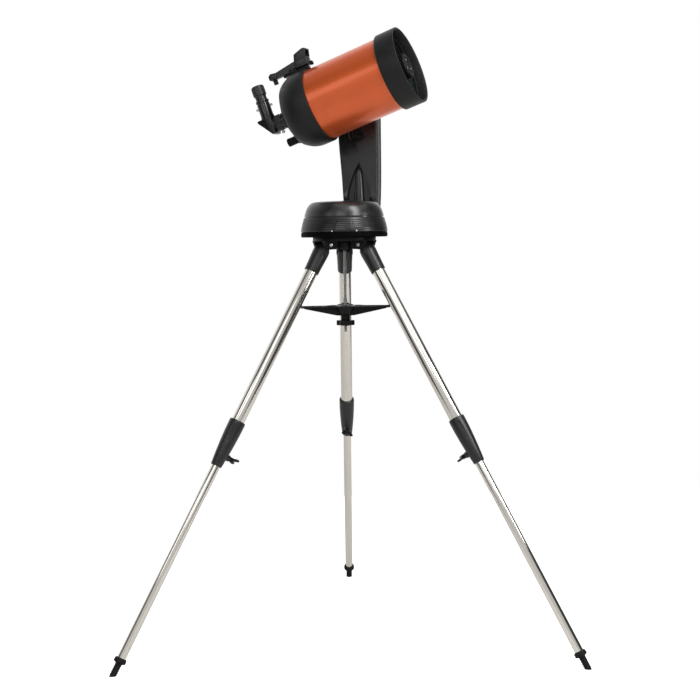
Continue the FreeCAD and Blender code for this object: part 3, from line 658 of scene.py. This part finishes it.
def hinge_bolts():
    """Hex-headed hinge bolts with a nut at the other end."""
    for number, azimuth in LEG_AZIMUTHS.items():
        bolt = rod(4.0, (HINGE_R, -36.2, HINGE_Z), (HINGE_R, 36.2, HINGE_Z))
        for side in (-1, 1):
            ring = [(HINGE_R + x, side * 36.0, HINGE_Z + z) for x, z in circle(6.5, 6)]
            head = bevelled(pushed(ring, (0, side * 6, 0)), 0.8, 2)
            dome = rod(4.6, (HINGE_R, side * 41, HINGE_Z), (HINGE_R, side * 44, HINGE_Z), edge=1.5)
            bolt = union(bolt, head, dome)
        piece(f"hinge_bolt_{number}", moved(bolt, angle=azimuth), TRIPOD, "tripod", "zinc_rod",
              ["hinge_bolts"] if number == 1 else [])


# --- base ---
BASE_Z = 1208.0
SKIRT = [(129.4, 16), (128.2, 26), (125.5, 38), (119.6, 58)]
FIRST_GROOVE, GROOVE_PITCH, GROOVE_DEPTH = 21.0, 5.6, 1.3
DOOR_BOTTOM, DOOR_TOP, DOOR_GAP = 18.0, 46.0, 1.2
DOOR_SCREW_X, DOOR_SCREW_Z = 36.0, 17.5
DOME = [(119.0, 60), (114.0, 78), (107.0, 91.5), (98.0, 101)]


def skirt_radius(height):
    for (r0, z0), (r1, z1) in zip(SKIRT, SKIRT[1:]):
        if height <= z1:
            return r0 + (r1 - r0) * (height - z0) / (z1 - z0)
    return SKIRT[-1][0]


def skirt_outline(last_groove):
    """The skirt's wall with its fine horizontal grooves."""
    outer = [(skirt_radius(16) - 1.0, 16), (skirt_radius(17), 17)]
    z = 17.0
    while z < 56.5:
        if FIRST_GROOVE <= z <= last_groove:
            outer += [(skirt_radius(z), z), (skirt_radius(z) - GROOVE_DEPTH, z + 0.5),
                      (skirt_radius(z) - GROOVE_DEPTH, z + 1.3), (skirt_radius(z), z + 1.8)]
            z += GROOVE_PITCH
        else:
            outer.append((skirt_radius(z), z))
            z += 2.2
    outer += [(skirt_radius(56.8), 56.8), (skirt_radius(57.6) - 0.8, 57.6), (skirt_radius(58) - 2.2, 58)]
    inner = [(skirt_radius(z) - 3.0, z) for z in (58, 38, 16)]
    return [(r, BASE_Z + z) for r, z in outer + inner]


def door_wedge(gap):
    low, top = BASE_Z + DOOR_BOTTOM + gap, BASE_Z + DOOR_TOP - gap
    return pushed([(-32.5 + gap, -140, low), (32.5 - gap, -140, low), (23 - gap, -140, top),
                   (-23 + gap, -140, top)], (0, 60, 0))


def smoothed(points, steps):
    """Points on a smooth curve through the given ones (Catmull-Rom), after the first."""
    last = len(points) - 1
    curve = []
    for i in range(1, steps + 1):
        t = i / steps * last
        k = min(int(t), last - 1)
        f = t - k
        p0, p1, p2, p3 = (Vector(points[j]) for j in (max(k - 1, 0), k, k + 1, min(k + 2, last)))
        point = 0.5 * ((2 * p1) + (p2 - p0) * f + (2 * p0 - 5 * p1 + 4 * p2 - p3) * f * f
                       + (3 * p1 - 3 * p2 + p3 - p0) * f ** 3)
        curve.append(tuple(point))
    return curve


def base():
    plate = lathed([(0, 1208), (126, 1208), (129, 1211), (129, 1219.5), (127.4, 1220.5), (127.4, 1223.6),
                    (122, 1223.6), (122, 1222), (22, 1222), (20, 1224), (20, 1250), (0, 1250)], 0.7, 192)
    # The base plate takes the matt finish whose near-black tone is painted shade from the skirt above it.
    piece("base_plate_disc", plate, TRIPOD, "tripod", "black_plastic", ["base_plate"], look="matt_painted_shade_plastic")
    skirt = turned(skirt_outline(53), 256)
    web = turned([(20.05, 1234), (126, 1234), (126, 1237), (20.05, 1237)], 96)
    skirt = union(skirt, web)
    slot = moved(block(-5, 5, 100, 140, 1240, 1248), angle=60)
    skirt = cut(skirt, door_wedge(0.0), slot, rod(16.5, (0, 75, 1230), (0, 75, 1240)))
    piece("base_skirt_shell", skirt, TRIPOD, "mount", "black_plastic", ["base_skirt"], look="satin_plastic")
    door = combined(turned(skirt_outline(44), 256), [door_wedge(DOOR_GAP)], "INTERSECT")
    piece("battery_door_panel", door, TRIPOD, "battery_door", "black_plastic", ["battery_door"], bevel=0.6,
          look="glossy_plastic")
    outer = [(115.0, 57.9), (116.4, 57.9), (116.4, 60.4), (118.0, 61.0), (118.5, 61.9)] + smoothed(DOME, 20)
    outer += [(90, 103.6), (75, 105.4), (50, 106.5), (25, 106.9), (0, 107)]
    inner = [(0, 104), (94, 98.5), (103.5, 89.5), (110.8, 77), (115.6, 61)]
    dome = turned([(r, BASE_Z + z) for r, z in outer + inner], 192)
    piece("base_dome_shell", dome, TRIPOD, "mount", "black_plastic", ["base_dome"], look="glossy_plastic")
    radius = skirt_radius(16.5)
    for name, x in (("door_screw_left", -DOOR_SCREW_X), ("door_screw_right", DOOR_SCREW_X)):
        screw = lathed([(0, -1), (2.6, -1), (2.6, 0.9), (1.2, 1.5), (0, 1.5)], 0.4, 24)
        screw = moved(cut(screw, block(-3, 3, -0.4, 0.4, 0.9, 2)), angle=90, axis="Y")
        screw = moved(screw, shift=(radius - 0.6, 0, BASE_Z + DOOR_SCREW_Z))
        angle = degrees(atan2(-sqrt(radius ** 2 - x ** 2), x))
        piece(name, moved(screw, angle=angle), TRIPOD, "mount", "bright_hardware")


# --- arm ---
ARM_IN, ARM_SPLIT, ARM_OUT = 125.0, 155.0, 176.0
HUB_TOP = PIVOT_Z + 68.0
SADDLE_R = 54.0
RECESS, RECESS_X = 10.0, 5.0
PLATE_CLEAR = 130.0
DOME_TOP = [(129.45, 16), (128.25, 26), (125.55, 38), (119.65, 58), (119.05, 60.05), (114.05, 78.05),
            (107.05, 91.55), (98.05, 101.05), (0, 107.05)]


def arm_outline(inset):
    """The arm from its side, as (forward, height). The top is an arc about the altitude pivot."""
    front = [(50, 1232), (56, 1262), (59, 1296), (61, 1330), (62.4, 1375), (63, 1420), (63, 1520),
             (63.5, 1600)]
    back = [(-66, 1600), (-64.5, 1560), (-62, 1520), (-59, 1475), (-55, 1430), (-51.5, 1385), (-49, 1340),
            (-47, 1300), (-46, 1270), (-40, 1232)]
    points = [(f - inset, z + (inset if i == 0 else 0)) for i, (f, z) in enumerate(front)]
    left, right = -66 + inset, 63.5 - inset
    top = HUB_TOP - inset
    middle = (left + right) / 2
    steps = 24
    for i in range(1, steps):
        angle = pi * i / steps
        points.append((middle + (right - left) / 2 * cos(angle), 1600 + (top - 1600) * sin(angle) ** 0.92))
    points += [(f + inset, z + (inset if i == len(back) - 1 else 0)) for i, (f, z) in enumerate(back)]
    return points


def arm_slab(inset, near, far):
    return pushed([(f, near, z) for f, z in arm_outline(inset)], (0, far - near, 0))


def arch(half_width, base, apex, near, far):
    """A pointed arch standing on its base."""
    points = []
    steps = 14
    for i in range(steps + 1):
        t = i / steps
        points.append((-half_width * (1 - t ** 2.4), base + (apex - base) * t))
    outline = points + [(-x, z) for x, z in reversed(points[:-1])]
    return pushed([(x, near, z) for x, z in outline], (0, far - near, 0))


def arm_foot():
    """The inner foot, swept down onto the dome."""
    sweep, steps = 42.0, 14
    curve = []
    for i in range(steps + 1):
        angle = pi / 2 * i / steps
        curve.append((ARM_IN - sweep + sweep * cos(angle), 1300 + sweep - sweep * sin(angle)))
    outline = [(ARM_IN + 1, 1300 + sweep)] + curve + [(ARM_IN - sweep, 1240), (ARM_IN + 1, 1240)]
    return pushed([(-44, y, z) for y, z in outline], (100, 0, 0))


def dome_volume(grow=0.0):
    rings = [(r + grow if r else 0, BASE_Z + z + (grow if z > 60 else 0)) for r, z in DOME_TOP]
    return turned([(0, BASE_Z - 1), (PLATE_CLEAR, BASE_Z - 1), (PLATE_CLEAR, BASE_Z + 15)] + rings, 128)


def arm():
    slab = bevelled(arm_slab(0, ARM_IN, ARM_SPLIT), 3.5, 4, 50)
    hollow = arm_slab(4, ARM_IN + 4, ARM_SPLIT + 1)
    bowl = moved(arch(48, 1290, 1441, ARM_IN + 1, ARM_IN + RECESS + 4), shift=(RECESS_X, 0, 0))
    seat = rod(SADDLE_R + 5, (0, ARM_IN + 1, PIVOT_Z), (0, ARM_IN + 17, PIVOT_Z), 96)
    foot = bevelled(arm_foot(), 7.0, 4, 50)
    shell = union(cut(slab, hollow), foot, bowl, seat)
    shell = cut(shell, moved(arch(44, 1270, 1435, ARM_IN - 60, ARM_IN + RECESS), shift=(RECESS_X, 0, 0)),
                rod(SADDLE_R + 0.5, (0, ARM_IN - 1, PIVOT_Z), (0, ARM_IN + 12, PIVOT_Z), 128),
                rod(12.05, (0, ARM_IN, PIVOT_Z), (0, ARM_IN + 40, PIVOT_Z)))
    rib = lathed([(0, 1280), (19, 1280), (15, 1345), (10, 1410), (0, 1428)], 5, 64, rounds=5)
    rib = moved(rib, shift=(2, ARM_IN + RECESS, 0))
    rib = cut(rib, block(-24, 24, ARM_IN + RECESS + 2, ARM_IN + 60, 1200, 1500))
    shell = cut(union(shell, rib), dome_volume())
    piece("arm_casting", shell, MOUNT, "mount", "black_plastic", ["arm_shell"], bevel=1.6,
          look="glossy_plastic")
    cover = bevelled(arm_slab(0, ARM_SPLIT - 20, ARM_OUT), 11.0, 6, 50)
    cover = cut(cover, block(-200, 200, ARM_SPLIT - 40, ARM_SPLIT, 1000, 1900),
                arm_slab(14, ARM_SPLIT - 1, ARM_OUT - 4), dome_volume())
    cradle = cut(block(-24, 24, ARM_OUT - 1, ARM_OUT + 16, 1452, 1500),
                 block(-20, 20, ARM_OUT, ARM_OUT + 12, 1456, 1501))
    hub = lathed([(0, 0), (40, 0), (40, 1.6), (37, 2.6), (0, 2.6)], 0.8)
    hub = moved(moved(hub, angle=-90, axis="X"), shift=(0, ARM_OUT - 0.5, PIVOT_Z))
    cover = union(cover, bevelled(cradle, 1.5, 3), hub)
    piece("arm_outer_cover", cover, MOUNT, "mount", "black_plastic", ["arm_cover"])
    jack = lathed([(0, 0), (5.2, 0), (5.2, 1.2), (4.2, 2.0), (2.6, 2.0), (2.6, 0.8), (0, 0.8)], 0.3, 32)
    jack = moved(moved(jack, angle=90, axis="X"), shift=(42, ARM_IN + 0.8, 1322))
    piece("arm_cable_port", jack, MOUNT, "mount", "black_rubber")


# --- telescope ---
TUBE_R, CELL_R = 108.0, 115.5
RING_A, RIM_A, REAR_A = 163.0, 225.0, -73.0
BACK_A = REAR_A - 112.0
DIAGONAL_A = -245.0
BARREL_R = 15.9
CLAMP_A, CLAMP_H = -213.0, 61.0
KNOB_H = -68.0


def optical(outline, steps=192, radius=0.0):
    """Swept about the optical axis; the outline is (distance, radius), rounded if radius is given."""
    if radius:
        outline = softened(outline, radius)
    return turned([(r, a) for a, r in outline], steps, "X")


def fluted(radius, depth, count, start, end, edge=0.8):
    """A grip about the X axis with rounded flutes."""
    ring = circle(lambda angle: radius - depth * (1 - abs(cos(count * angle / 2)) ** 0.6), count * 8)
    return bevelled(pushed([(start, y, z) for y, z in ring], (end - start, 0, 0)), edge, 2, 50)


def cap_screw(head=3.0, tall=2.4):
    """A socket cap screw along +X with its seat at 0."""
    neck = head * 0.55
    body = lathed([(0, -2), (neck, -2), (neck, 0), (head, 0), (head, tall), (0, tall)], 0.4, 24, "X")
    return cut(body, pushed([(tall - 1.2, y, z) for y, z in circle(head * 0.5, 6)], (3, 0, 0)))


def tube_and_cells():
    outline = [(REAR_A - 8, TUBE_R - 1.6), (REAR_A - 8, TUBE_R), (172, TUBE_R), (172, TUBE_R - 1.6)]
    piece("optical_tube_paint", optical(outline, 256), TUBE, "tube", "orange_tube", ["optical_tube"])
    front = [(RING_A, TUBE_R), (RING_A, CELL_R - 2), (RING_A + 3, CELL_R), (RIM_A, CELL_R), (RIM_A, 111.5),
             (RIM_A - 2.5, 109), (206, 105.5), (197, 105), (190, 105), (190, 99), (184, 99), (172, 104),
             (172, TUBE_R)]
    cell = optical(front, 256, 1.1)
    lip = optical([(195.3, 100.5), (195.3, 105.02), (199, 105.02), (199, 102.5), (197.5, 100.5)], 192)
    piece("front_cell_ring", cell, TUBE, "tube", "black_cell", ["front_cell"])
    piece("corrector_retainer", lip, TUBE, "tube", "black_cell")
    for k in range(8):
        screw = moved(cap_screw(2.2, 1.2), shift=(198.9, 103.2, 0))
        piece(f"retainer_screw_{k + 1}", moved(screw, angle=22.5 + 45 * k, axis="X"), TUBE, "tube",
              "dark_anodised")
    rear = [(0, TUBE_R), (0, 113), (-2, 114), (-38, 114), (-47, 113.1), (-56, 111), (-65, 108), (-73, 104),
            (-81, 99.2), (-88, 94), (-93, 88), (-96.5, 81), (-98.5, 72), (-100, 66), (-103.5, 65), (-105, 61),
            (-106.5, 52), (-108.5, 40), (-110.5, 33), (-112, 29), (-112, 18)]
    inside = [(-105, 18), (-101, 27), (-97, 27), (-92, 80), (-87, 90), (-70, 100), (-53, 107), (-38, 109.5),
              (-13, 109.5), (-8, 106), (-8, TUBE_R)]
    boss = rod(15, (-104, 0, KNOB_H), (-89, 0, KNOB_H), edge=1.5)
    shell = cut(union(optical(rear + inside, 256), boss),
                rod(BOLT_BORE, (-113, 0, KNOB_H), (-63, 0, KNOB_H)))
    piece("rear_cell_casting", moved(shell, shift=(REAR_A, 0, 0)), TUBE, "tube", "black_cell", ["rear_cell"],
          sharp=28)
    for name, a, radius, angles in (("front_cell_screw", 196.0, CELL_R, (60, 180, 300)),
                                    ("rear_cell_screw", REAR_A - 10, 114.0, (30, 150, 270))):
        for k, angle in enumerate(angles):
            screw = moved(cap_screw(2.4, 1.0), angle=-90, axis="Y")
            screw = moved(moved(screw, shift=(a, 0, radius - 0.4)), angle=angle, axis="X")
            piece(f"{name}_{k + 1}", screw, TUBE, "tube", "dark_anodised")
    glass = optical([(190, 30), (190, 104.8), (195, 104.8), (195, 30)], radius=0.3)
    piece("corrector_glass_plate", glass, TUBE, "tube", "corrector_glass", ["corrector_plate"])


def secondary():
    outline = [(181, 0), (181, 33), (190, 33), (190, 29.9), (195, 29.9), (195, 37), (199, 37), (200, 36),
               (214, 36), (215, 37), (217, 37), (220, 34), (220, 26), (216, 23), (216, 14), (217.5, 13),
               (217.5, 0)]
    piece("secondary_holder", optical(outline, 128, 0.8), TUBE, "tube", "black_cell",
          ["secondary_housing"], look="black_rubber")
    for k, angle in enumerate((90, 210, 330)):
        screw = moved(moved(cap_screw(3.2, 2.6), shift=(216, 18.5, 0)), angle=angle, axis="X")
        piece(f"collimation_screw_{k + 1}", screw, TUBE, "tube", "bright_hardware")


def focuser():
    grip = fluted(12.5, 1.3, 20, -33, -4)
    stem = lathed([(0, -5), (10.5, -5), (10.5, 0), (4, 0), (4, 31), (0, 31)], 0.5, 48, "X")
    cap = lathed([(0, -34), (8.5, -34), (9.5, -32), (0, -32)], 0.5, 48, "X")
    knob = moved(union(grip, stem, cap), shift=(REAR_A - 104, 0, KNOB_H))
    piece("focus_knob_grip", knob, TUBE, "focus_knob", "black_rubber", ["focus_knob"])


def visual_back():
    ring = fluted(24.8, 0.9, 44, -224, -206)
    outline = [(-226, BARREL_R), (-226, 22), (-224, 23.5), (-206, 23.5), (-204, 22.5), (-201, 22.5),
               (-200, 24.8), (-192, 24.8), (-191, 23.0), (BACK_A - 3, 23.0), (BACK_A - 2.5, 28.8),
               (BACK_A, 28.8), (BACK_A, BARREL_R)]
    body = cut(union(optical(outline, 128, 0.5), ring), rod(BARREL_R, (-230, 0, 0), (-180, 0, 0), 96),
               rod(2.55, (CLAMP_A, 0, 0), (CLAMP_A, 0, -30)))
    piece("visual_back_ring", body, TUBE, "tube", "dark_anodised", ["visual_back"])


def thumb_screw(tip, neck, end, thread, head):
    """A knurled thumb screw along +Z."""
    waist, steps = head * 0.6, 72
    shank = lathed([(0, tip), (thread, tip), (thread, neck), (waist, neck), (waist, neck + 1.2),
                    (0, neck + 1.2)], 0.3, 32)
    knurl = circle(lambda angle: head - 0.25 * (round(angle * steps / (2 * pi)) % 4 > 1), steps)
    grip = pushed([(x, y, neck + 1.0) for x, y in knurl], (0, 0, end - neck - 1.0))
    return union(shank, bevelled(grip, 0.3, 2, 50))


def set_screws():
    screw = moved(thumb_screw(16, 26.5, 34.5, 2.5, 4.8), angle=180, axis="X")
    piece("visual_back_thumb_screw", moved(screw, shift=(CLAMP_A, 0, 0)), TUBE, "visual_back_screw",
          "bright_hardware", ["visual_back_screw"])
    for name, side in (("front", 1), ("rear", -1)):
        screw = moved(thumb_screw(16, 21.2, 27, 2.2, 4.0), angle=90 * side, axis="Y")
        node = f"diagonal_screw_{name}"
        piece(node + "_knurled", moved(screw, shift=(DIAGONAL_A, 0, CLAMP_H)), TUBE, node, "bright_hardware",
              [node])


def diagonal():
    wedge = pushed([(-229, -21, -28), (-229, -21, 25), (-275, -21, 25), (-275, -21, 19), (-241, -21, -28)],
                   (0, 42, 0))
    wedge = bevelled(wedge, 1.6, 3)
    nose = rod(15.85, (-230, 0, 0), (-204, 0, 0), 96)
    collar = optical([(-232, 0), (-232, 20), (-227, 20), (-227, 0)], 96, 0.8)
    neck = lathed([(0, 22), (21.5, 22), (21.2, 28), (19.5, 35), (19.5, 71), (18.6, 72.5), (18.6, 75),
                   (20.5, 76.5), (20.5, 81), (19.6, 82), (0, 82)], 0.7, 128)
    body = union(wedge, collar, nose, moved(neck, shift=(DIAGONAL_A, 0, 0)))
    body = cut(body, rod(13, (-240, 0, 0), (-200, 0, 0), 64),
               rod(BARREL_R, (DIAGONAL_A, 0, 20), (DIAGONAL_A, 0, 90), 96),
               pushed([(-233, -16, -17), (-233, -16, 20), (-270, -16, 20)], (0, 32, 0)),
               rod(2.25, (DIAGONAL_A - 25, 0, CLAMP_H), (DIAGONAL_A + 25, 0, CLAMP_H)))
    piece("star_diagonal_body", body, TUBE, "diagonal", "dark_anodised", ["star_diagonal"])
    top, bottom = Vector((-275, 0, 19)), Vector((-241, 0, -28))
    slope = (bottom - top).normalized()
    normal = Vector((slope.z, 0, -slope.x))
    turn = Vector((1, 0, 0)).rotation_difference(normal).to_matrix().to_4x4()
    for k, (u, v) in enumerate(((-24, -16), (-24, 16), (24, -16), (24, 16))):
        screw = cap_screw(2.0, 0.8)
        bmesh.ops.transform(screw, matrix=turn, verts=screw.verts)
        spot = (top + bottom) / 2 + slope * u + Vector((0, v, 0)) - normal * 0.2
        piece(f"diagonal_cover_screw_{k + 1}", moved(screw, shift=spot), TUBE, "diagonal", "bright_hardware")


def eyepiece():
    barrel = lathed([(0, 50), (15.85, 50), (15.85, 81.9), (17.5, 82), (17.5, 85), (17.0, 86), (17.0, 95),
                     (18.2, 97), (19.2, 98), (19.2, 126), (17.5, 128), (12, 128), (10.5, 125.2), (9.5, 124.6),
                     (0, 124.6)], 0.5)
    rib, count = rod(0.9, (19.2, 0, 100), (19.2, 0, 123.5), 12), 30
    body = union(barrel, *(moved(rib, angle=360 * k / count) for k in range(count)))
    piece("eyepiece_body", moved(body, shift=(DIAGONAL_A, 0, 0)), TUBE, "eyepiece", "dark_anodised",
          ["eyepiece"], look="satin_plastic")
    lens = turned([(0, 124.4), (9.6, 124.4), (9.6, 125.0), (8, 125.8), (5, 126.6), (2, 126.95), (0, 127)], 64)
    piece("eyepiece_eye_lens", moved(lens, shift=(DIAGONAL_A, 0, 0)), TUBE, "eyepiece", "prism_glass")


def finder():
    piece("finder_bracket_shoe", finder_bracket(), TUBE, "tube", "black_plastic", ["finder_bracket"],
          bevel=0.7)
    beam = pushed([(-191, -9, 123), (-66, -9, 123), (-60, -9, 146), (-110, -9, 149), (-180, -9, 140),
                   (-191, -9, 134)], (0, 18, 0))
    rear = bevelled(pushed([(-196, -15, 124), (-172, -15, 124), (-170, -15, 140), (-188, -15, 143),
                            (-196, -15, 137)], (0, 30, 0)), 2.2, 3)
    front = block(-103, -62, -19, 19, 124, 146)
    hood = pushed([(-103, -19, 144), (-63, -19, 144), (-56, -19, 172), (-66, -19, 174), (-96, -19, 166)],
                  (0, 38, 0))
    opening = pushed([(-110, -16, 149), (-50, -16, 149), (-40, -16, 168), (-110, -16, 162)], (0, 32, 0))
    body = union(bevelled(beam, 1.2, 2), rear, bevelled(front, 1.6, 3),
                 cut(bevelled(hood, 2.0, 3), opening), rod(2.45, (-116, -14, 126), (-116, 14, 126)))
    ridges = [block(-168 + 7 * k, -165.5 + 7 * k, -9.8, 9.8, 128, 137 + 0.9 * k) for k in range(8)]
    body = union(body, *ridges)
    piece("finder_sight_body", body, TUBE, "finder", "black_plastic", ["finder_body"], look="satin_plastic")
    dial = lathed([(0, -62), (6.5, -62), (6.5, -56), (5.5, -55), (0, -55)], 0.6, 40, "X")
    piece("finder_front_dial", moved(dial, shift=(0, 10, 128)), TUBE, "finder", "black_plastic")
    lamp = lathed([(0, 145.5), (2.2, 145.5), (2.2, 148.4), (1.2, 149), (0, 149)], 0.4, 24)
    piece("finder_lamp", moved(lamp, shift=(-96, 0, 0)), TUBE, "finder", "dark_anodised")
    pane = pushed([(-78, -16, 149), (-75.5, -16, 149), (-68, -16, 164.9), (-70.5, -16, 164.7)], (0, 32, 0))
    piece("finder_window_pane", pane, TUBE, "finder", "corrector_glass", ["finder_window"], bevel=0.2)
    knob = moved(fluted(7.0, 0.7, 16, 109, 122, 0.6), angle=-90, axis="Y")
    knob = union(knob, rod(2.5, (0, 0, 121), (0, 0, 123)))
    piece("finder_adjust_knob", moved(knob, shift=(-183, 0, 0)), TUBE, "finder_knob", "black_plastic",
          ["finder_knob"])


def finder_bracket():
    body = block(-150, -68, -14, 14, 108, 121)
    ears = [block(-128, -104, y, y + 4, 120, 130) for y in (-14, 10)]
    shape = cut(union(body, *ears), rod(114, (-151, 0, 0), (-67, 0, 0), 192))
    return cut(shape, rod(2.5, (-116, -20, 126), (-116, 20, 126)))


def inner_nodes():
    """CAD nodes whose shapes are right as they are: new finishes only, or a copy with rounded edges."""
    for node in ("saddle", "saddle_knob", "dovetail_rail", "tripod_head"):
        refined(node)
    for node in ("azimuth_gear", "battery_pack", "drive_motors", "azimuth_pinion", "altitude_pinion",
                 "altitude_gear", "power_switch", "secondary_mirror", "primary_mirror", "baffle_tube",
                 "diagonal_prism"):
        thing = frame["nodes"][node]
        thing.data.materials.clear()
        thing.data.materials.append(FINISHES[SLOTS[node]])


# --- stage ---
BACK_WALL = 1.0
FRONT_WALL = 0.60
SIDE_FLAG = 0.04
CEILING = 0.16
CEILING_START, CEILING_END = 0.68, 0.85
OVERHEAD = 0.9
FLOOR_GLOW = 0.95
FLOOR_REACH, FLOOR_DROP = 2.2, 0.0004
# Brightness of the studio walls all the way round: (bearing from the front, to the right), in turns.
WALLS = ((0.0, BACK_WALL), (0.14, BACK_WALL), (0.25, 0.45), (0.30, SIDE_FLAG), (0.35, SIDE_FLAG),
         (0.385, FRONT_WALL), (0.59, FRONT_WALL), (0.65, SIDE_FLAG), (0.80, SIDE_FLAG), (0.88, 0.25),
         (0.94, BACK_WALL), (1.0, BACK_WALL))


def softbox(name, bearing, height, reach, size, radiance, aim_z=1.35):
    """A rectangular lamp aimed at the telescope, seen from the front at a bearing and height in degrees."""
    aim = Vector((AXIS.x, AXIS.y, aim_z))
    bearing, height = radians(bearing), radians(height)
    away = Vector((sin(bearing) * cos(height), -cos(bearing) * cos(height), sin(height)))
    data = bpy.data.lights.new(name, "AREA")
    data.shape = "RECTANGLE"
    data.size, data.size_y = size
    data.energy = radiance * pi * size[0] * size[1]
    lamp = bpy.data.objects.new(name, data)
    bpy.context.scene.collection.objects.link(lamp)
    lamp.location = aim + away * reach
    lamp.rotation_euler = (-away).to_track_quat("-Z", "Y").to_euler()
    lamp.visible_camera = False


def studio_world():
    """Plain white behind the object; pale walls with dark flags at the sides for its reflections."""
    world = bpy.data.worlds.new("studio")
    bpy.context.scene.world = world
    world.use_nodes = True
    g = Graph(world.node_tree)
    g.nodes.clear()
    place = g.node("ShaderNodeTexCoord").outputs["Generated"]
    direction = g.node("ShaderNodeSeparateXYZ", {0: place}).outputs
    bearing = g.maths("ARCTAN2", direction["X"], g.maths("MULTIPLY", direction["Y"], -1.0))
    walls = g.ramp(g.span(bearing, 0.0, 1.0, -pi, pi), [(turn, (value,) * 3) for turn, value in WALLS])
    rise = g.span(direction["Z"], 0.0, 1.0, CEILING_START, CEILING_END)
    room = g.mixed(rise, walls, (CEILING, CEILING, CEILING, 1.0))
    lit = g.node("ShaderNodeBackground", {"Color": room}).outputs[0]
    seen = g.node("ShaderNodeBackground", {"Color": (1.0, 1.0, 1.0, 1.0)}).outputs[0]
    camera_ray = g.node("ShaderNodeLightPath").outputs["Is Camera Ray"]
    either = g.node("ShaderNodeMixShader", {0: camera_ray, 1: lit, 2: seen}).outputs[0]
    g.node("ShaderNodeOutputWorld", {"Surface": either})


def make_stage():
    mesh = bpy.data.meshes.new("floor")
    corners = [(x * FLOOR_REACH, y * FLOOR_REACH, 0) for x, y in ((-1, -1), (1, -1), (1, 1), (-1, 1))]
    mesh.from_pydata(corners, [], [(0, 1, 2, 3)])
    floor = bpy.data.objects.new("floor", mesh)
    bpy.context.scene.collection.objects.link(floor)
    floor.location.z = -FLOOR_DROP
    g = Finish("floor")
    seen = g.node("ShaderNodeLightPath").outputs["Is Camera Ray"]
    g.set(Base_Color=(0.72, 0.70, 0.68, 1), Roughness=0.8, Emission_Color=(1, 1, 1, 1),
          Emission_Strength=g.span(seen, 0.0, FLOOR_GLOW))
    mesh.materials.append(g.material)
    studio_world()
    sky = bpy.data.lights.new("overhead", "SUN")
    sky.energy = OVERHEAD
    sky.angle = radians(70)
    lamp = bpy.data.objects.new("overhead", sky)
    bpy.context.scene.collection.objects.link(lamp)
    lamp.rotation_euler = (radians(14), radians(16), 0)
    softbox("key", 37, 40, 4.0, (1.1, 2.7), 9.0)
    softbox("side", 62, 6, 1.9, (0.30, 0.85), 11.0, 1.40)
    softbox("fill", -10, 22, 4.6, (1.7, 1.7), 1.8)
    softbox("front_left", -47, 18, 4.4, (1.1, 1.3), 1.5)
    scene = bpy.context.scene
    scene.view_settings.view_transform = "Standard"
    scene.view_settings.look = "None"


make_camera()
make_stage()
make_legs()
threaded_rod()
support_knob()
tray()
captive_knobs()
hinge_bolts()
base()
arm()
tube_and_cells()
secondary()
focuser()
visual_back()
set_screws()
diagonal()
eyepiece()
finder()
inner_nodes()
